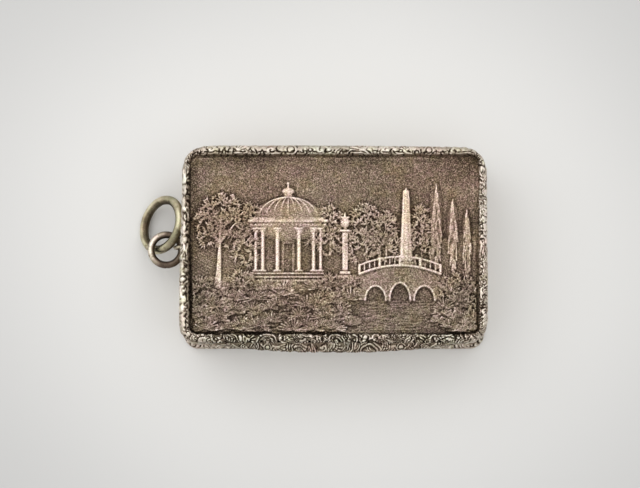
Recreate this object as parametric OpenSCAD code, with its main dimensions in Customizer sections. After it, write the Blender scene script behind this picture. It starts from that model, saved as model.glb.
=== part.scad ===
// Silver vinaigrette: a small hinged box with a pierced inner grille that
// holds down a scented sponge, and a pair of linked suspension rings.
// Millimetres, +Z up, origin at the centre of the underside.
// +X runs along the length (rings at -X), +Y points to the hinge side.

/* [Case] */
// Length of the box walls, outside
wall_l = 41.8; // [36:0.1:48]
// Depth of the box walls, outside
wall_w = 26.1; // [24:0.1:32]
// Outside corner radius of the walls
wall_r = 1.3; // [1.1:0.1:2.5]
// Thickness of the wall strip
wall_t = 0.7; // [0.65:0.05:0.8]
// Thickness of the bottom plate
bottom_t = 0.6; // [0.4:0.05:0.8]
// Height of the top edge of the box wall
wall_top = 8.6; // [8.4:0.1:9.2]
// Thickness of the upright bezel inside the walls
bezel_t = 0.45; // [0.35:0.05:0.5]
// How far the bezel stands above the wall
bezel_rise = 1.2; // [0.8:0.1:1.3]

/* [Lid] */
// Top edge of the lid skirt
skirt_top = 11; // [10.8:0.1:11.4]
// Running gap between the lid skirt and the bezel
lid_gap = 0.13; // [0.1:0.01:0.2]
// Thickness of the stamped lid panel
panel_t = 0.5; // [0.4:0.05:0.6]
// How far the cast border overhangs the walls
border_out = 1.35; // [1.2:0.05:1.6]
// How far the thumbpiece bows out from the border
thumb_out = 1.3; // [0.3:0.05:1.5]
// Half width of the thumbpiece
thumb_half = 17; // [8:0.5:18]

/* [Lid hinge] */
// Outside radius of the hinge tubes
knuckle_r = 0.75; // [0.65:0.05:0.75]
// Radius of the hinge pin
pin_r = 0.35; // [0.3:0.05:0.4]
// Length of one hinge tube
knuckle_l = 6; // [4:0.5:7]

/* [Grille] */
// Thickness of the pierced grille
grille_t = 0.45; // [0.35:0.05:0.5]
// Running gap round the grille
grille_gap = 0.15; // [0.1:0.01:0.2]
// Outside radius of the grille hinge tubes
gknuckle_r = 0.5; // [0.42:0.02:0.5]
// Radius of the grille hinge pin
gpin_r = 0.22; // [0.15:0.01:0.25]

/* [Rings] */
// Radius of the jump ring to the middle of its wire
jump_r = 2.2; // [2.15:0.05:2.25]
// Wire radius of the jump ring
jump_wire = 0.52; // [0.4:0.02:0.54]
// Radius of the suspension ring to the middle of its wire
hang_r = 3.74; // [3.7:0.02:3.78]
// Wire radius of the suspension ring
hang_wire = 0.66; // [0.5:0.02:0.68]
// Wire radius of the staple on the box
staple_wire = 0.28; // [0.2:0.02:0.3]

/* [Hidden] */
$fn = 96;

SILVER = [0.62, 0.57, 0.52];
DARK = [0.46, 0.41, 0.37];
GILT = [0.80, 0.62, 0.32];
GREEN = [0.60, 0.57, 0.46];
TAN = [0.74, 0.60, 0.40];

hl = wall_l / 2;
hw = wall_w / 2;
skirt_z = wall_top + 0.05;
bez_l = wall_l - 2 * wall_t;
bez_w = wall_w - 2 * wall_t;
bez_r = wall_r - wall_t;
bez_top = wall_top + bezel_rise;
in_l = bez_l - 2 * bezel_t;
in_w = bez_w - 2 * bezel_t;
seat_top = 7.4;
seat_land = 0.9;
grille_z = seat_top + 0.1;
grille_top = grille_z + grille_t;
lining_z = 10.3;
lining_t = 0.4;

// hinge axes
hinge_y = hw + 0.2;
hinge_z = wall_top + 0.02;
gh_y = in_w / 2 - 0.72;
gh_z = grille_top + 0.4;
gh_in = 5;
gh_out = 10;

// rings, as they lie
jump_c = [-24.3, 0.07, 4.5];
staple_y = 0.42;
staple_r = 0.9;
staple_x = jump_c[0] + sqrt(jump_r * jump_r - pow(staple_y - jump_c[1], 2));
hang_c = [-24.99, 3.86, 3.41];
hang_turn = 77.6;
hang_tilt = 45.7;

// ---------- shared shapes ----------

// rounded rectangle, built from squares and true circles
module rrect(l, w, r) {
  square([l - 2 * r, w], center = true);
  square([l, w - 2 * r], center = true);
  for (x = [-1, 1], y = [-1, 1])
    translate([x * (l / 2 - r), y * (w / 2 - r)]) circle(r);
}

// upright band between two rounded rectangles
module band(l, w, r, t, ri, z0, z1) {
  translate([0, 0, z0]) linear_extrude(z1 - z0) difference() {
    rrect(l, w, r);
    rrect(l - 2 * t, w - 2 * t, ri);
  }
}

// a moulding profile carried round the wall outline: [distance out, height]
module moulding(profile) {
  a = hl - wall_r;
  b = hw - wall_r;
  for (m = [0, 1]) mirror([0, m, 0])
    translate([-a, hw, 0]) rotate([90, 0, 90]) linear_extrude(2 * a) polygon(profile);
  for (m = [0, 1]) mirror([m, 0, 0])
    translate([hl, b, 0]) rotate([90, 0, 0]) linear_extrude(2 * b) polygon(profile);
  for (k = [0:3]) {
    sx = (k == 0 || k == 3) ? 1 : -1;
    sy = (k < 2) ? 1 : -1;
    translate([sx * a, sy * b, 0]) rotate([0, 0, 90 * k])
      rotate_extrude(angle = 90) translate([wall_r, 0]) polygon(profile);
  }
}

module tube_x(x0, x1, y, z, r) {
  translate([x0, y, z]) rotate([0, 90, 0]) cylinder(r = r, h = x1 - x0);
}

// hinge tubes with index i of five
function kx(i) = (i - 2.5) * knuckle_l;
module hinge_space(i, r) { tube_x(kx(i), kx(i + 1), hinge_y, hinge_z, r); }
module hinge_tube(i, bore) {
  difference() {
    tube_x(kx(i) + 0.05, kx(i + 1) - 0.05, hinge_y, hinge_z, knuckle_r);
    tube_x(kx(i) - 1, kx(i + 1) + 1, hinge_y, hinge_z, bore);
  }
}

// pointed leaf opening, length along X
module leaf(len, w) {
  r = (len * len + w * w) / (4 * w);
  intersection() {
    translate([0, r - w / 2]) circle(r);
    translate([0, -(r - w / 2)]) circle(r);
  }
}

// ---------- box ----------

module box_bottom() {
  color(SILVER) linear_extrude(bottom_t) rrect(wall_l, wall_w, wall_r);
}

module box_wall() {
  color(SILVER) difference() {
    band(wall_l, wall_w, wall_r, wall_t, bez_r, bottom_t, wall_top);
    for (i = [0, 2, 4]) hinge_space(i, knuckle_r);
    for (i = [1, 3]) hinge_space(i, knuckle_r + 0.08);
  }
}

module base_border() {
  color(SILVER) moulding([[0, 0], [0.7, 0], [0.95, 0.45], [0.95, 1.15],
    [0.7, 1.75], [0.3, 2.1], [0, 2.2]]);
}

module bezel() {
  color(GILT) band(bez_l, bez_w, bez_r, bezel_t, 0.3, 4.6, bez_top);
}

// ledge that the grille closes on
module grille_seat() {
  color(GILT) band(in_l, in_w, 0.3, seat_land, 0.5, 6.4, seat_top);
}

module sponge() {
  color(TAN) translate([0, 0, bottom_t + 0.05]) linear_extrude(5.5)
    rrect(in_l - 2, in_w - 2, 2);
}

module box_hinge_tubes() {
  color(SILVER) for (i = [0, 2, 4]) hinge_tube(i, pin_r);
}

module hinge_pin() {
  color(DARK) tube_x(kx(0) + 0.05, kx(5) - 0.05, hinge_y, hinge_z, pin_r);
}

// fixed outer tubes of the grille hinge, each on a block soldered to the bezel
module grille_hinge_lugs() {
  color(GILT) for (s = [-1, 1]) {
    x0 = s < 0 ? -gh_out : gh_in;
    difference() {
      union() {
        tube_x(x0, x0 + gh_out - gh_in, gh_y, gh_z, gknuckle_r);
        translate([x0, gh_y, gh_z - 0.4]) cube([gh_out - gh_in, in_w / 2 - gh_y, 0.8]);
      }
      tube_x(x0 - 1, x0 + 6, gh_y, gh_z, gpin_r);
    }
  }
}

module grille_hinge_pin() {
  color(DARK) tube_x(-gh_out, gh_out, gh_y, gh_z, gpin_r);
}

// wire staple on the left wall that carries the jump ring
module ring_staple() {
  color(GREEN) translate([staple_x, staple_y, jump_c[2]]) rotate([90, 0, 0]) {
    rotate([0, 0, 90]) rotate_extrude(angle = 180) translate([staple_r, 0]) circle(staple_wire);
    for (s = [-1, 1]) translate([0, s * staple_r, 0]) rotate([0, 90, 0])
      cylinder(r = staple_wire, h = -hl - staple_x);
  }
}

// ---------- lid ----------

module lid_skirt() {
  t = wall_t - lid_gap;
  color(SILVER) difference() {
    band(wall_l, wall_w, wall_r, t, bez_r + lid_gap, skirt_z, skirt_top);
    for (i = [0, 2, 4]) hinge_space(i, knuckle_r + 0.08);
    for (i = [1, 3]) hinge_space(i, knuckle_r);
  }
}

module lid_lining() {
  g = 2 * lid_gap;
  color(GILT) translate([0, 0, lining_z]) linear_extrude(lining_t)
    rrect(bez_l + g, bez_w + g, bez_r + lid_gap);
}

module lid_panel() {
  color(DARK) translate([0, 0, skirt_top]) linear_extrude(panel_t)
    rrect(wall_l, wall_w, wall_r);
}

module lid_border() {
  t = skirt_top + panel_t;
  color(SILVER) moulding([[0, t - 1.5], [0.75, t - 1.4], [border_out - 0.15, t - 1.0],
    [border_out, t - 0.6], [border_out, t + 0.2], [border_out - 0.2, t + 0.65],
    [0.7, t + 1.0], [0.25, t + 1.1], [-0.05, t + 0.9], [-0.2, t + 0.4], [-0.2, t], [0, t]]);
}

// long shallow bow on the front of the border
module thumbpiece() {
  n = 12;
  blunt = 0.06;
  bow = [for (i = [-n:n]) [thumb_half * i / n, -blunt - (thumb_out - blunt) * (1 - pow(abs(i) / n, 2.5))]];
  color(SILVER) translate([0, -hw - border_out, skirt_top - 0.1]) linear_extrude(0.8)
    polygon(concat(bow, [[thumb_half, 0], [-thumb_half, 0]]));
}

module lid_hinge_tubes() {
  color(SILVER) for (i = [1, 3]) hinge_tube(i, pin_r + 0.03);
}

// ---------- grille ----------

// petals round a point
module rosette(n, r_mid, len, w, turn = 0) {
  for (k = [0:n - 1]) rotate(360 / n * k + turn) translate([r_mid, 0]) leaf(len, w);
}

// leaves that follow a curl round a point
module curl(n, a0, a1, r, len, w, lean) {
  for (k = [0:n - 1]) rotate(a0 + (a1 - a0) * k / (n - 1))
    translate([r, 0]) rotate(90 + lean) leaf(len, w);
}

module piercing() {
  circle(0.62);
  rosette(8, 2.75, 3.1, 1.15);
  rosette(8, 4.75, 1.2, 0.62, 22.5);
  for (sx = [-1, 1]) scale([sx, 1]) {
    translate([11.2, 0]) {
      circle(0.55);
      rosette(6, 1.95, 1.9, 0.9, 30);
      curl(13, 20, 340, 4.75, 1.75, 0.72, 24);
    }
    for (sy = [-1, 1]) scale([1, sy]) {
      translate([5.3, 5.9]) curl(6, 60, 300, 2.2, 1.6, 0.7, 24);
      translate([5.3, 5.9]) circle(0.8);
      translate([16.6, 7.1]) rosette(5, 1.25, 1.5, 0.7, 45);
      translate([11.2, 8.2]) rotate(0) leaf(3.4, 1.0);
      translate([1.45, 8.1]) rotate(62) leaf(2.4, 0.85);
      translate([17.6, 3.3]) rotate(60) leaf(2.2, 0.85);
    }
  }
}

module grille_plate() {
  front = in_w / 2 - grille_gap;
  back = gh_y + 0.2;
  l = in_l - 2 * grille_gap;
  color(GILT) difference() {
    translate([0, 0, grille_z]) linear_extrude(grille_t) difference() {
      intersection() {
        rrect(l, 2 * front, 0.4);
        translate([-l / 2 - 1, -front - 1]) square([l + 2, front + 1 + back]);
      }
      translate([0, -0.35]) piercing();
    }
    tube_x(-gh_in, gh_in, gh_y, gh_z, gknuckle_r);
    for (x0 = [-gh_out - 0.1, gh_in - 0.1])
      tube_x(x0, x0 + gh_out - gh_in + 0.2, gh_y, gh_z, gknuckle_r + 0.08);
  }
}

module grille_hinge_tube() {
  color(GILT) difference() {
    tube_x(-gh_in + 0.05, gh_in - 0.05, gh_y, gh_z, gknuckle_r);
    tube_x(-gh_in - 1, gh_in + 1, gh_y, gh_z, gpin_r + 0.03);
  }
}

// small lift at the front edge of the grille
module grille_tab() {
  front = in_w / 2 - grille_gap;
  color(GILT) translate([0, -front, grille_top]) difference() {
    translate([-1.8, 0, 0]) cube([3.6, 0.95, 0.55]);
    translate([-3, 1.15, 0.6]) rotate([0, 90, 0]) cylinder(r = 0.45, h = 6);
  }
}

// ---------- rings ----------

module jump_ring() {
  color(GREEN) translate(jump_c) rotate_extrude() translate([jump_r, 0]) circle(jump_wire);
}

module suspension_ring() {
  color(GREEN) translate(hang_c) rotate(a = -hang_tilt, v = [cos(hang_turn), sin(hang_turn), 0])
    rotate_extrude() translate([hang_r, 0]) circle(hang_wire);
}

box_bottom();
box_wall();
base_border();
bezel();
grille_seat();
sponge();
box_hinge_tubes();
hinge_pin();
grille_hinge_lugs();
grille_hinge_pin();
ring_staple();
lid_skirt();
lid_lining();
lid_panel();
lid_border();
thumbpiece();
lid_hinge_tubes();
grille_plate();
grille_hinge_tube();
grille_tab();
jump_ring();
suspension_ring();
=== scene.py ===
import bpy
import math
import numpy as np
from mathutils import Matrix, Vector
from mathutils.kdtree import KDTree


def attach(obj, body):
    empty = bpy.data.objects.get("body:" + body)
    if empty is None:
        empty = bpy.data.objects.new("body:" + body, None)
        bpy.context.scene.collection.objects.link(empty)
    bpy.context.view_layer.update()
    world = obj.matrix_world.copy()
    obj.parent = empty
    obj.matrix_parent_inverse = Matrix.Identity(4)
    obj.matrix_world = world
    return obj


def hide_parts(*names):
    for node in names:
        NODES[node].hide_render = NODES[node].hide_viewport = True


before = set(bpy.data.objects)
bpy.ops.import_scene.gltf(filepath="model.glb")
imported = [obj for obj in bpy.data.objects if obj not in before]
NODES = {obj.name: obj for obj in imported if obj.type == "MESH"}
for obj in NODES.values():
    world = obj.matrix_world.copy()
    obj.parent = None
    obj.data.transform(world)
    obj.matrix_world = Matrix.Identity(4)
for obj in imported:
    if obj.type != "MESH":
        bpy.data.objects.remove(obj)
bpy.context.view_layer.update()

MM = 0.001
# wall outline of the box, in mm
HL, HW, RC = 20.9, 13.05, 1.3
AX, BY = HL - RC, HW - RC


# ------------------------------------------------------------------ helpers

def smooth(t):
    t = np.clip(t, 0.0, 1.0)
    return t * t * (3 - 2 * t)


def blur(a, sigma, wrap=False):
    """Gaussian blur of a 2D array, sigma in samples; the first axis may wrap."""
    r = max(1, int(math.ceil(3 * sigma)))
    k = np.exp(-0.5 * (np.arange(-r, r + 1) / sigma) ** 2)
    k /= k.sum()
    p = np.pad(a, ((r, r), (0, 0)), mode="wrap" if wrap else "edge")
    out = np.zeros_like(a)
    for i, kv in enumerate(k):
        out += kv * p[i:i + a.shape[0], :]
    p = np.pad(out, ((0, 0), (r, r)), mode="edge")
    res = np.zeros_like(a)
    for i, kv in enumerate(k):
        res += kv * p[:, i:i + a.shape[1]]
    return res


def soft_noise(shape, sigma, seed, wrap=False):
    """Seeded noise of unit spread with features about sigma samples wide."""
    n = blur(np.random.default_rng(seed).normal(size=shape), sigma, wrap)
    return (n - n.mean()) / n.std()


def warp(a, du, dv):
    """Resamples a map whose first axis wraps, at positions shifted by du, dv samples."""
    n, m = a.shape
    i, j = np.meshgrid(np.arange(n), np.arange(m), indexing="ij")
    u, v = (i + du) % n, np.clip(j + dv, 0, m - 1.001)
    i0, j0 = np.floor(u).astype(int) % n, np.floor(v).astype(int)
    fu, fv = u - np.floor(u), v - j0
    i1 = (i0 + 1) % n
    return (1 - fu) * ((1 - fv) * a[i0, j0] + fv * a[i0, j0 + 1]) + fu * ((1 - fv) * a[i1, j0] + fv * a[i1, j0 + 1])


def mesh_object(name, verts, faces, attrs=None, smooth_faces=True):
    """A mesh object from vertices in mm and a face array or list of face arrays."""
    me = bpy.data.meshes.new(name)
    v = np.asarray(verts, float).reshape(-1, 3) * MM
    groups = faces if isinstance(faces, list) else [faces]
    groups = [np.asarray(g, np.int32) for g in groups if len(g)]
    loops = np.concatenate([g.ravel() for g in groups])
    totals = np.concatenate([np.full(len(g), g.shape[1], np.int32) for g in groups])
    starts = np.concatenate([[0], np.cumsum(totals)[:-1]]).astype(np.int32)
    me.vertices.add(len(v))
    me.vertices.foreach_set("co", v.astype(np.float32).ravel())
    me.loops.add(len(loops))
    me.loops.foreach_set("vertex_index", loops.astype(np.int32))
    me.polygons.add(len(totals))
    me.polygons.foreach_set("loop_start", starts)
    me.polygons.foreach_set("loop_total", totals)
    me.polygons.foreach_set("use_smooth", np.full(len(totals), smooth_faces, bool))
    for key, val in (attrs or {}).items():
        at = me.attributes.new(key, "FLOAT", "POINT")
        at.data.foreach_set("value", np.asarray(val, np.float32).ravel())
    me.update(calc_edges=True)
    me.validate()
    ob = bpy.data.objects.new(name, me)
    bpy.context.scene.collection.objects.link(ob)
    return ob


def grid_faces(nu, nv, wrap_u=False, wrap_v=False, offset=0, flip=False):
    iu = np.arange(nu if wrap_u else nu - 1)
    iv = np.arange(nv if wrap_v else nv - 1)
    a, b = np.meshgrid(iu, iv, indexing="ij")
    a2, b2 = (a + 1) % nu, (b + 1) % nv
    q = np.stack([a * nv + b, a2 * nv + b, a2 * nv + b2, a * nv + b2], -1).reshape(-1, 4)
    if flip:
        q = q[:, ::-1]
    return q + offset


class Canvas:
    """A height map that is built up from strokes and bosses. Sizes in mm."""

    def __init__(self, xs, ys, wrap=False):
        self.xs, self.ys, self.wrap = xs, ys, wrap
        self.dx, self.dy = xs[1] - xs[0], ys[1] - ys[0]
        self.n, self.m = len(xs), len(ys)
        self.H = np.zeros((self.n, self.m))
        self.T = np.zeros((self.n, self.m))
        self.C = np.zeros((self.n, self.m))

    def window(self, x0, x1, y0, y1):
        i0 = int(math.floor((x0 - self.xs[0]) / self.dx))
        i1 = int(math.ceil((x1 - self.xs[0]) / self.dx)) + 1
        j0 = max(0, int(math.floor((y0 - self.ys[0]) / self.dy)))
        j1 = min(self.m, int(math.ceil((y1 - self.ys[0]) / self.dy)) + 1)
        if not self.wrap:
            i0, i1 = max(0, i0), min(self.n, i1)
        if i1 <= i0 or j1 <= j0:
            return None
        idx = np.arange(i0, i1)
        x = self.xs[0] + idx * self.dx
        idx = idx % self.n if self.wrap else idx
        jdx = np.arange(j0, j1)
        return np.ix_(idx, jdx), x[:, None], self.ys[j0:j1][None, :]

    def put(self, sel, value, inside, pol):
        h, t = self.H[sel], self.T[sel]
        win = inside & (value > h)
        self.H[sel] = np.where(win, value, h)
        self.T[sel] = np.where(win, pol, t)

    def stroke(self, p, q, w0, w1, z0, z1, amp, pol):
        w = max(w0, w1)
        r = self.window(min(p[0], q[0]) - w, max(p[0], q[0]) + w, min(p[1], q[1]) - w, max(p[1], q[1]) + w)
        if r is None:
            return
        sel, x, y = r
        ex, ey = q[0] - p[0], q[1] - p[1]
        ll = ex * ex + ey * ey + 1e-12
        t = np.clip(((x - p[0]) * ex + (y - p[1]) * ey) / ll, 0, 1)
        d = np.hypot(x - p[0] - t * ex, y - p[1] - t * ey)
        ww = w0 + (w1 - w0) * t
        prof = np.sqrt(np.clip(1 - (d / ww) ** 2, 0, 1))
        self.put(sel, z0 + (z1 - z0) * t + amp * prof, d < ww, pol * (0.35 + 0.65 * prof))

    def path(self, pts, w0, w1, z0, z1, amp, pol):
        k = len(pts) - 1
        for i in range(k):
            a, b = i / k, (i + 1) / k
            self.stroke(pts[i], pts[i + 1], w0 + (w1 - w0) * a, w0 + (w1 - w0) * b,
                        z0 + (z1 - z0) * a, z0 + (z1 - z0) * b, amp, pol)

    def cut(self, pts, w0, w1, depth=1.0):
        """A tapering graver cut along a path."""
        k = len(pts) - 1
        for i in range(k):
            p, q = pts[i], pts[i + 1]
            a, b = w0 + (w1 - w0) * i / k, w0 + (w1 - w0) * (i + 1) / k
            w = max(a, b)
            r = self.window(min(p[0], q[0]) - w, max(p[0], q[0]) + w, min(p[1], q[1]) - w, max(p[1], q[1]) + w)
            if r is None:
                continue
            sel, x, y = r
            ex, ey = q[0] - p[0], q[1] - p[1]
            t = np.clip(((x - p[0]) * ex + (y - p[1]) * ey) / (ex * ex + ey * ey + 1e-12), 0, 1)
            d = np.hypot(x - p[0] - t * ex, y - p[1] - t * ey) / (a + (b - a) * t)
            self.C[sel] = np.maximum(self.C[sel], depth * smooth(1.25 * (1 - d)))

    def boss(self, cx, cy, rx, ry, turn, z, amp, pol, power=0.5):
        r = self.window(cx - max(rx, ry), cx + max(rx, ry), cy - max(rx, ry), cy + max(rx, ry))
        if r is None:
            return
        sel, x, y = r
        c, s = math.cos(turn), math.sin(turn)
        u, v = ((x - cx) * c + (y - cy) * s) / rx, (-(x - cx) * s + (y - cy) * c) / ry
        rho = u * u + v * v
        prof = np.clip(1 - rho, 0, 1) ** power
        self.put(sel, z + amp * prof, rho < 1, pol * (0.4 + 0.6 * prof))

    def bar(self, x0, x1, y0, y1, z, bevel, pol, round_x=0.0, round_y=0.0):
        """A flat-topped raised block with bevelled edges, or a half round across X or Y."""
        r = self.window(x0, x1, y0, y1)
        if r is None:
            return
        sel, x, y = r
        d = np.minimum(np.minimum(x - x0, x1 - x), np.minimum(y - y0, y1 - y))
        prof = smooth(d / bevel)
        u = (2 * x - x0 - x1) / (x1 - x0)
        v = (2 * y - y0 - y1) / (y1 - y0)
        top = z * (1 - round_x * u * u - round_y * v * v)
        self.put(sel, top * prof + 0 * (x + y), d > 0, pol * (0.5 + 0.5 * prof))


# ------------------------------------------------------------------ materials

def new_material(name):
    mat = bpy.data.materials.new(name)
    mat.use_nodes = True
    nt = mat.node_tree
    bsdf = nt.nodes["Principled BSDF"]
    return mat, nt, bsdf


def node(nt, kind, **props):
    n = nt.nodes.new(kind)
    for k, v in props.items():
        setattr(n, k, v)
    return n


def ramp(nt, stops, fac):
    n = node(nt, "ShaderNodeValToRGB")
    els = n.color_ramp.elements
    while len(els) < len(stops):
        els.new(0.5)
    for e, (p, c) in zip(els, stops):
        e.position = p
        e.color = (*c, 1.0)
    nt.links.new(fac, n.inputs["Fac"])
    return n.outputs["Color"]


def noise(nt, coord, scale, detail=3.0, rough=0.55, stretch=None):
    if stretch is not None:
        mp = node(nt, "ShaderNodeMapping")
        mp.inputs["Scale"].default_value = stretch
        nt.links.new(coord, mp.inputs["Vector"])
        coord = mp.outputs["Vector"]
    n = node(nt, "ShaderNodeTexNoise")
    n.inputs["Scale"].default_value = scale
    n.inputs["Detail"].default_value = detail
    n.inputs["Roughness"].default_value = rough
    nt.links.new(coord, n.inputs["Vector"])
    return n.outputs["Fac"]


def math_node(nt, op, a, b):
    n = node(nt, "ShaderNodeMath", operation=op)
    for i, v in enumerate((a, b)):
        if isinstance(v, (int, float)):
            n.inputs[i].default_value = v
        else:
            nt.links.new(v, n.inputs[i])
    return n.outputs[0]


def mix_colour(nt, fac, a, b, blend="MIX"):
    n = node(nt, "ShaderNodeMix", data_type="RGBA", blend_type=blend)
    for key, v in (("Factor", fac), ("A", a), ("B", b)):
        sock = [s for s in n.inputs if s.name == key and (s.type == "RGBA" if key != "Factor" else s.type == "VALUE")][0]
        if isinstance(v, (int, float)):
            sock.default_value = v
        elif isinstance(v, tuple):
            sock.default_value = (*v, 1.0)
        else:
            nt.links.new(v, sock)
    return [s for s in n.outputs if s.type == "RGBA"][0]


def map_range(nt, v, lo, hi, a, b):
    n = node(nt, "ShaderNodeMapRange")
    for key, x in (("From Min", lo), ("From Max", hi), ("To Min", a), ("To Max", b)):
        n.inputs[key].default_value = x
    nt.links.new(v, n.inputs["Value"])
    return n.outputs["Result"]


def bump(nt, bsdf, height, distance, strength=1.0):
    n = node(nt, "ShaderNodeBump")
    n.inputs["Strength"].default_value = strength
    n.inputs["Distance"].default_value = distance
    nt.links.new(height, n.inputs["Height"])
    nt.links.new(n.outputs["Normal"], bsdf.inputs["Normal"])


SILVER_HUES = [(0.28, (1.0, 0.90, 0.87)), (0.43, (1.0, 0.98, 0.96)), (0.55, (1.0, 1.0, 0.97)), (0.64, (0.985, 0.995, 0.90)), (0.76, (0.94, 0.95, 0.80))]
PANEL_HUES = [(0.28, (0.90, 0.86, 0.95)), (0.40, (0.99, 0.955, 0.98)), (0.52, (1.0, 1.0, 0.97)), (0.62, (1.0, 1.0, 0.87)), (0.76, (1.0, 0.90, 0.84))]
BORDER_HUES = [(0.26, (1.0, 0.84, 0.825)), (0.40, (1.0, 0.965, 0.95)), (0.55, (1.0, 1.0, 0.98)), (0.64, (0.985, 0.99, 0.88)), (0.76, (0.93, 0.93, 0.75))]


def relief_silver(name, stops, rough=(0.55, 0.2), hues=SILVER_HUES, seed=0.0, pit=0.00002, grain=0.05, fleck=1.0, low=None):
    """Old silver on chased or cast work: the tone attribute runs from black
    tarnish in the recesses to polished metal on the crests, and in places
    also carries painted light and shade."""
    mat, nt, bsdf = new_material(name)
    bsdf.inputs["Metallic"].default_value = 1.0
    co = node(nt, "ShaderNodeTexCoord").outputs["Object"]
    at = node(nt, "ShaderNodeAttribute", attribute_name="tone").outputs["Fac"]
    mottled = math_node(nt, "ADD", at, map_range(nt, noise(nt, co, 1100 + seed, 4, 0.7), 0.3, 0.7, -0.05, 0.05))
    mottled = math_node(nt, "ADD", mottled, map_range(nt, noise(nt, co, 6200 + seed, 1.5, 0.5), 0.28, 0.72, -grain, grain))
    col = ramp(nt, stops, mottled)
    col = mix_colour(nt, 1.0, col, ramp(nt, hues, noise(nt, co, 330 + seed, 3.5, 0.66)), "MULTIPLY")
    # broad drifts of rose and of greenish grey, and faint flecks of both
    drift = [(0.36, (1.0, 0.96, 0.955)), (0.5, (1.0, 1.0, 1.0)), (0.64, (0.95, 0.99, 0.98))]
    col = mix_colour(nt, 1.0, col, ramp(nt, drift, noise(nt, co, 80 + seed, 2, 0.5)), "MULTIPLY")
    tint = [(0.34, (1.0, 1 - 0.055 * fleck, 1 - 0.01 * fleck)), (0.5, (1.0, 1.0, 1.0)), (0.66, (1 - 0.035 * fleck, 1.0, 1 - 0.05 * fleck))]
    col = mix_colour(nt, 1.0, col, ramp(nt, tint, noise(nt, co, 2400 + seed, 2, 0.6)), "MULTIPLY")
    if low is not None:
        sep = node(nt, "ShaderNodeSeparateXYZ")
        nt.links.new(co, sep.inputs[0])
        fade = map_range(nt, math_node(nt, "ADD", sep.outputs["Y"], map_range(nt, noise(nt, co, 140, 2, 0.5), 0.3, 0.7, -3 * MM, 3 * MM)), -9 * MM, -2 * MM, 1.0, 0.0)
        col = mix_colour(nt, fade, col, mix_colour(nt, 1.0, col, low, "MULTIPLY"))
    nt.links.new(col, bsdf.inputs["Base Color"])
    fine = noise(nt, co, 6000, 3, 0.6)
    rg = math_node(nt, "ADD", map_range(nt, at, 0.1, 0.95, rough[0], rough[1]), map_range(nt, fine, 0.3, 0.7, -0.05, 0.05))
    nt.links.new(rg, bsdf.inputs["Roughness"])
    bump(nt, bsdf, noise(nt, co, 8000, 3, 0.65), pit)
    return mat


def plain_silver(name, light, dark, rough=(0.26, 0.42), scale=260.0, patch_amount=0.5, seams=()):
    """Rolled and drawn silver: soft polish, fine scratches, tarnish in faint patches."""
    mat, nt, bsdf = new_material(name)
    bsdf.inputs["Metallic"].default_value = 1.0
    co = node(nt, "ShaderNodeTexCoord").outputs["Object"]
    patch = map_range(nt, noise(nt, co, scale, 3, 0.55), 0.3, 0.7, 0.5 - 0.5 * patch_amount, 0.5 + 0.5 * patch_amount)
    speck = map_range(nt, noise(nt, co, 3600, 3, 0.6), 0.3, 0.7, -0.14, 0.14)
    along = map_range(nt, noise(nt, co, 2600, 3, 0.6, (0.07, 1.0, 1.0)), 0.3, 0.7, -0.12, 0.12)
    f = math_node(nt, "ADD", math_node(nt, "ADD", patch, speck), along)
    # tarnish gathers along the seams, given as height, reach and amount
    if seams:
        sep = node(nt, "ShaderNodeSeparateXYZ")
        nt.links.new(co, sep.inputs[0])
    for z0, reach, amount in seams:
        off = math_node(nt, "ABSOLUTE", math_node(nt, "SUBTRACT", sep.outputs["Z"], z0 * MM), 0.0)
        f = math_node(nt, "SUBTRACT", f, map_range(nt, off, 0.0, reach * MM, amount, 0.0))
    mid = tuple(0.4 * a + 0.6 * b for a, b in zip(dark, light))
    col = ramp(nt, [(0.0, dark), (0.5, mid), (1.0, light)], f)
    col = mix_colour(nt, 1.0, col, ramp(nt, SILVER_HUES, noise(nt, co, 410, 3, 0.6)), "MULTIPLY")
    nt.links.new(col, bsdf.inputs["Base Color"])
    nt.links.new(map_range(nt, f, 0.0, 1.0, rough[1], rough[0]), bsdf.inputs["Roughness"])
    bump(nt, bsdf, noise(nt, co, 3000, 4, 0.7, (0.05, 1.0, 1.0)), 0.000012)
    return mat


SILVER_STOPS = [(0.0, (0.035, 0.026, 0.02)), (0.22, (0.13, 0.10, 0.075)), (0.42, (0.34, 0.285, 0.225)),
                (0.66, (0.66, 0.59, 0.50)), (0.92, (0.92, 0.86, 0.78))]
PANEL_STOPS = [(0.0, (0.045, 0.032, 0.024)), (0.28, (0.20, 0.148, 0.106)), (0.5, (0.37, 0.285, 0.22)),
               (0.75, (0.69, 0.55, 0.465)), (0.98, (1.0, 0.875, 0.80))]
BORDER_STOPS = [(0.0, (0.022, 0.016, 0.012)), (0.2, (0.085, 0.064, 0.047)), (0.42, (0.29, 0.24, 0.185)), (0.64, (0.56, 0.50, 0.425)),
                (0.80, (0.79, 0.735, 0.66)), (1.0, (0.97, 0.915, 0.835))]
M_PANEL = relief_silver("panel_silver", PANEL_STOPS, (0.52, 0.26), PANEL_HUES, 0.0, 0.00006, 0.33, 1.3, (0.93, 0.955, 0.99))
M_BORDER = relief_silver("border_silver", BORDER_STOPS, (0.5, 0.3), BORDER_HUES, 31.0, 0.000015, 0.06)
M_SILVER = plain_silver("silver_sheet", (0.72, 0.655, 0.56), (0.25, 0.195, 0.145), (0.15, 0.36), patch_amount=0.85, seams=((8.64, 0.35, 0.45), (10.02, 0.6, 0.5), (7.62, 0.3, 0.4)))
M_STAPLE = plain_silver("staple_silver", (0.64, 0.575, 0.45), (0.27, 0.22, 0.155), (0.3, 0.46), 700)
M_PIN = plain_silver("silver_pin", (0.62, 0.57, 0.50), (0.26, 0.21, 0.165), (0.3, 0.5), 900)
M_GILT = plain_silver("silver_gilt", (0.96, 0.72, 0.36), (0.66, 0.43, 0.17), (0.2, 0.36), 180)


# ------------------------------------------------------------------ outline

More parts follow.
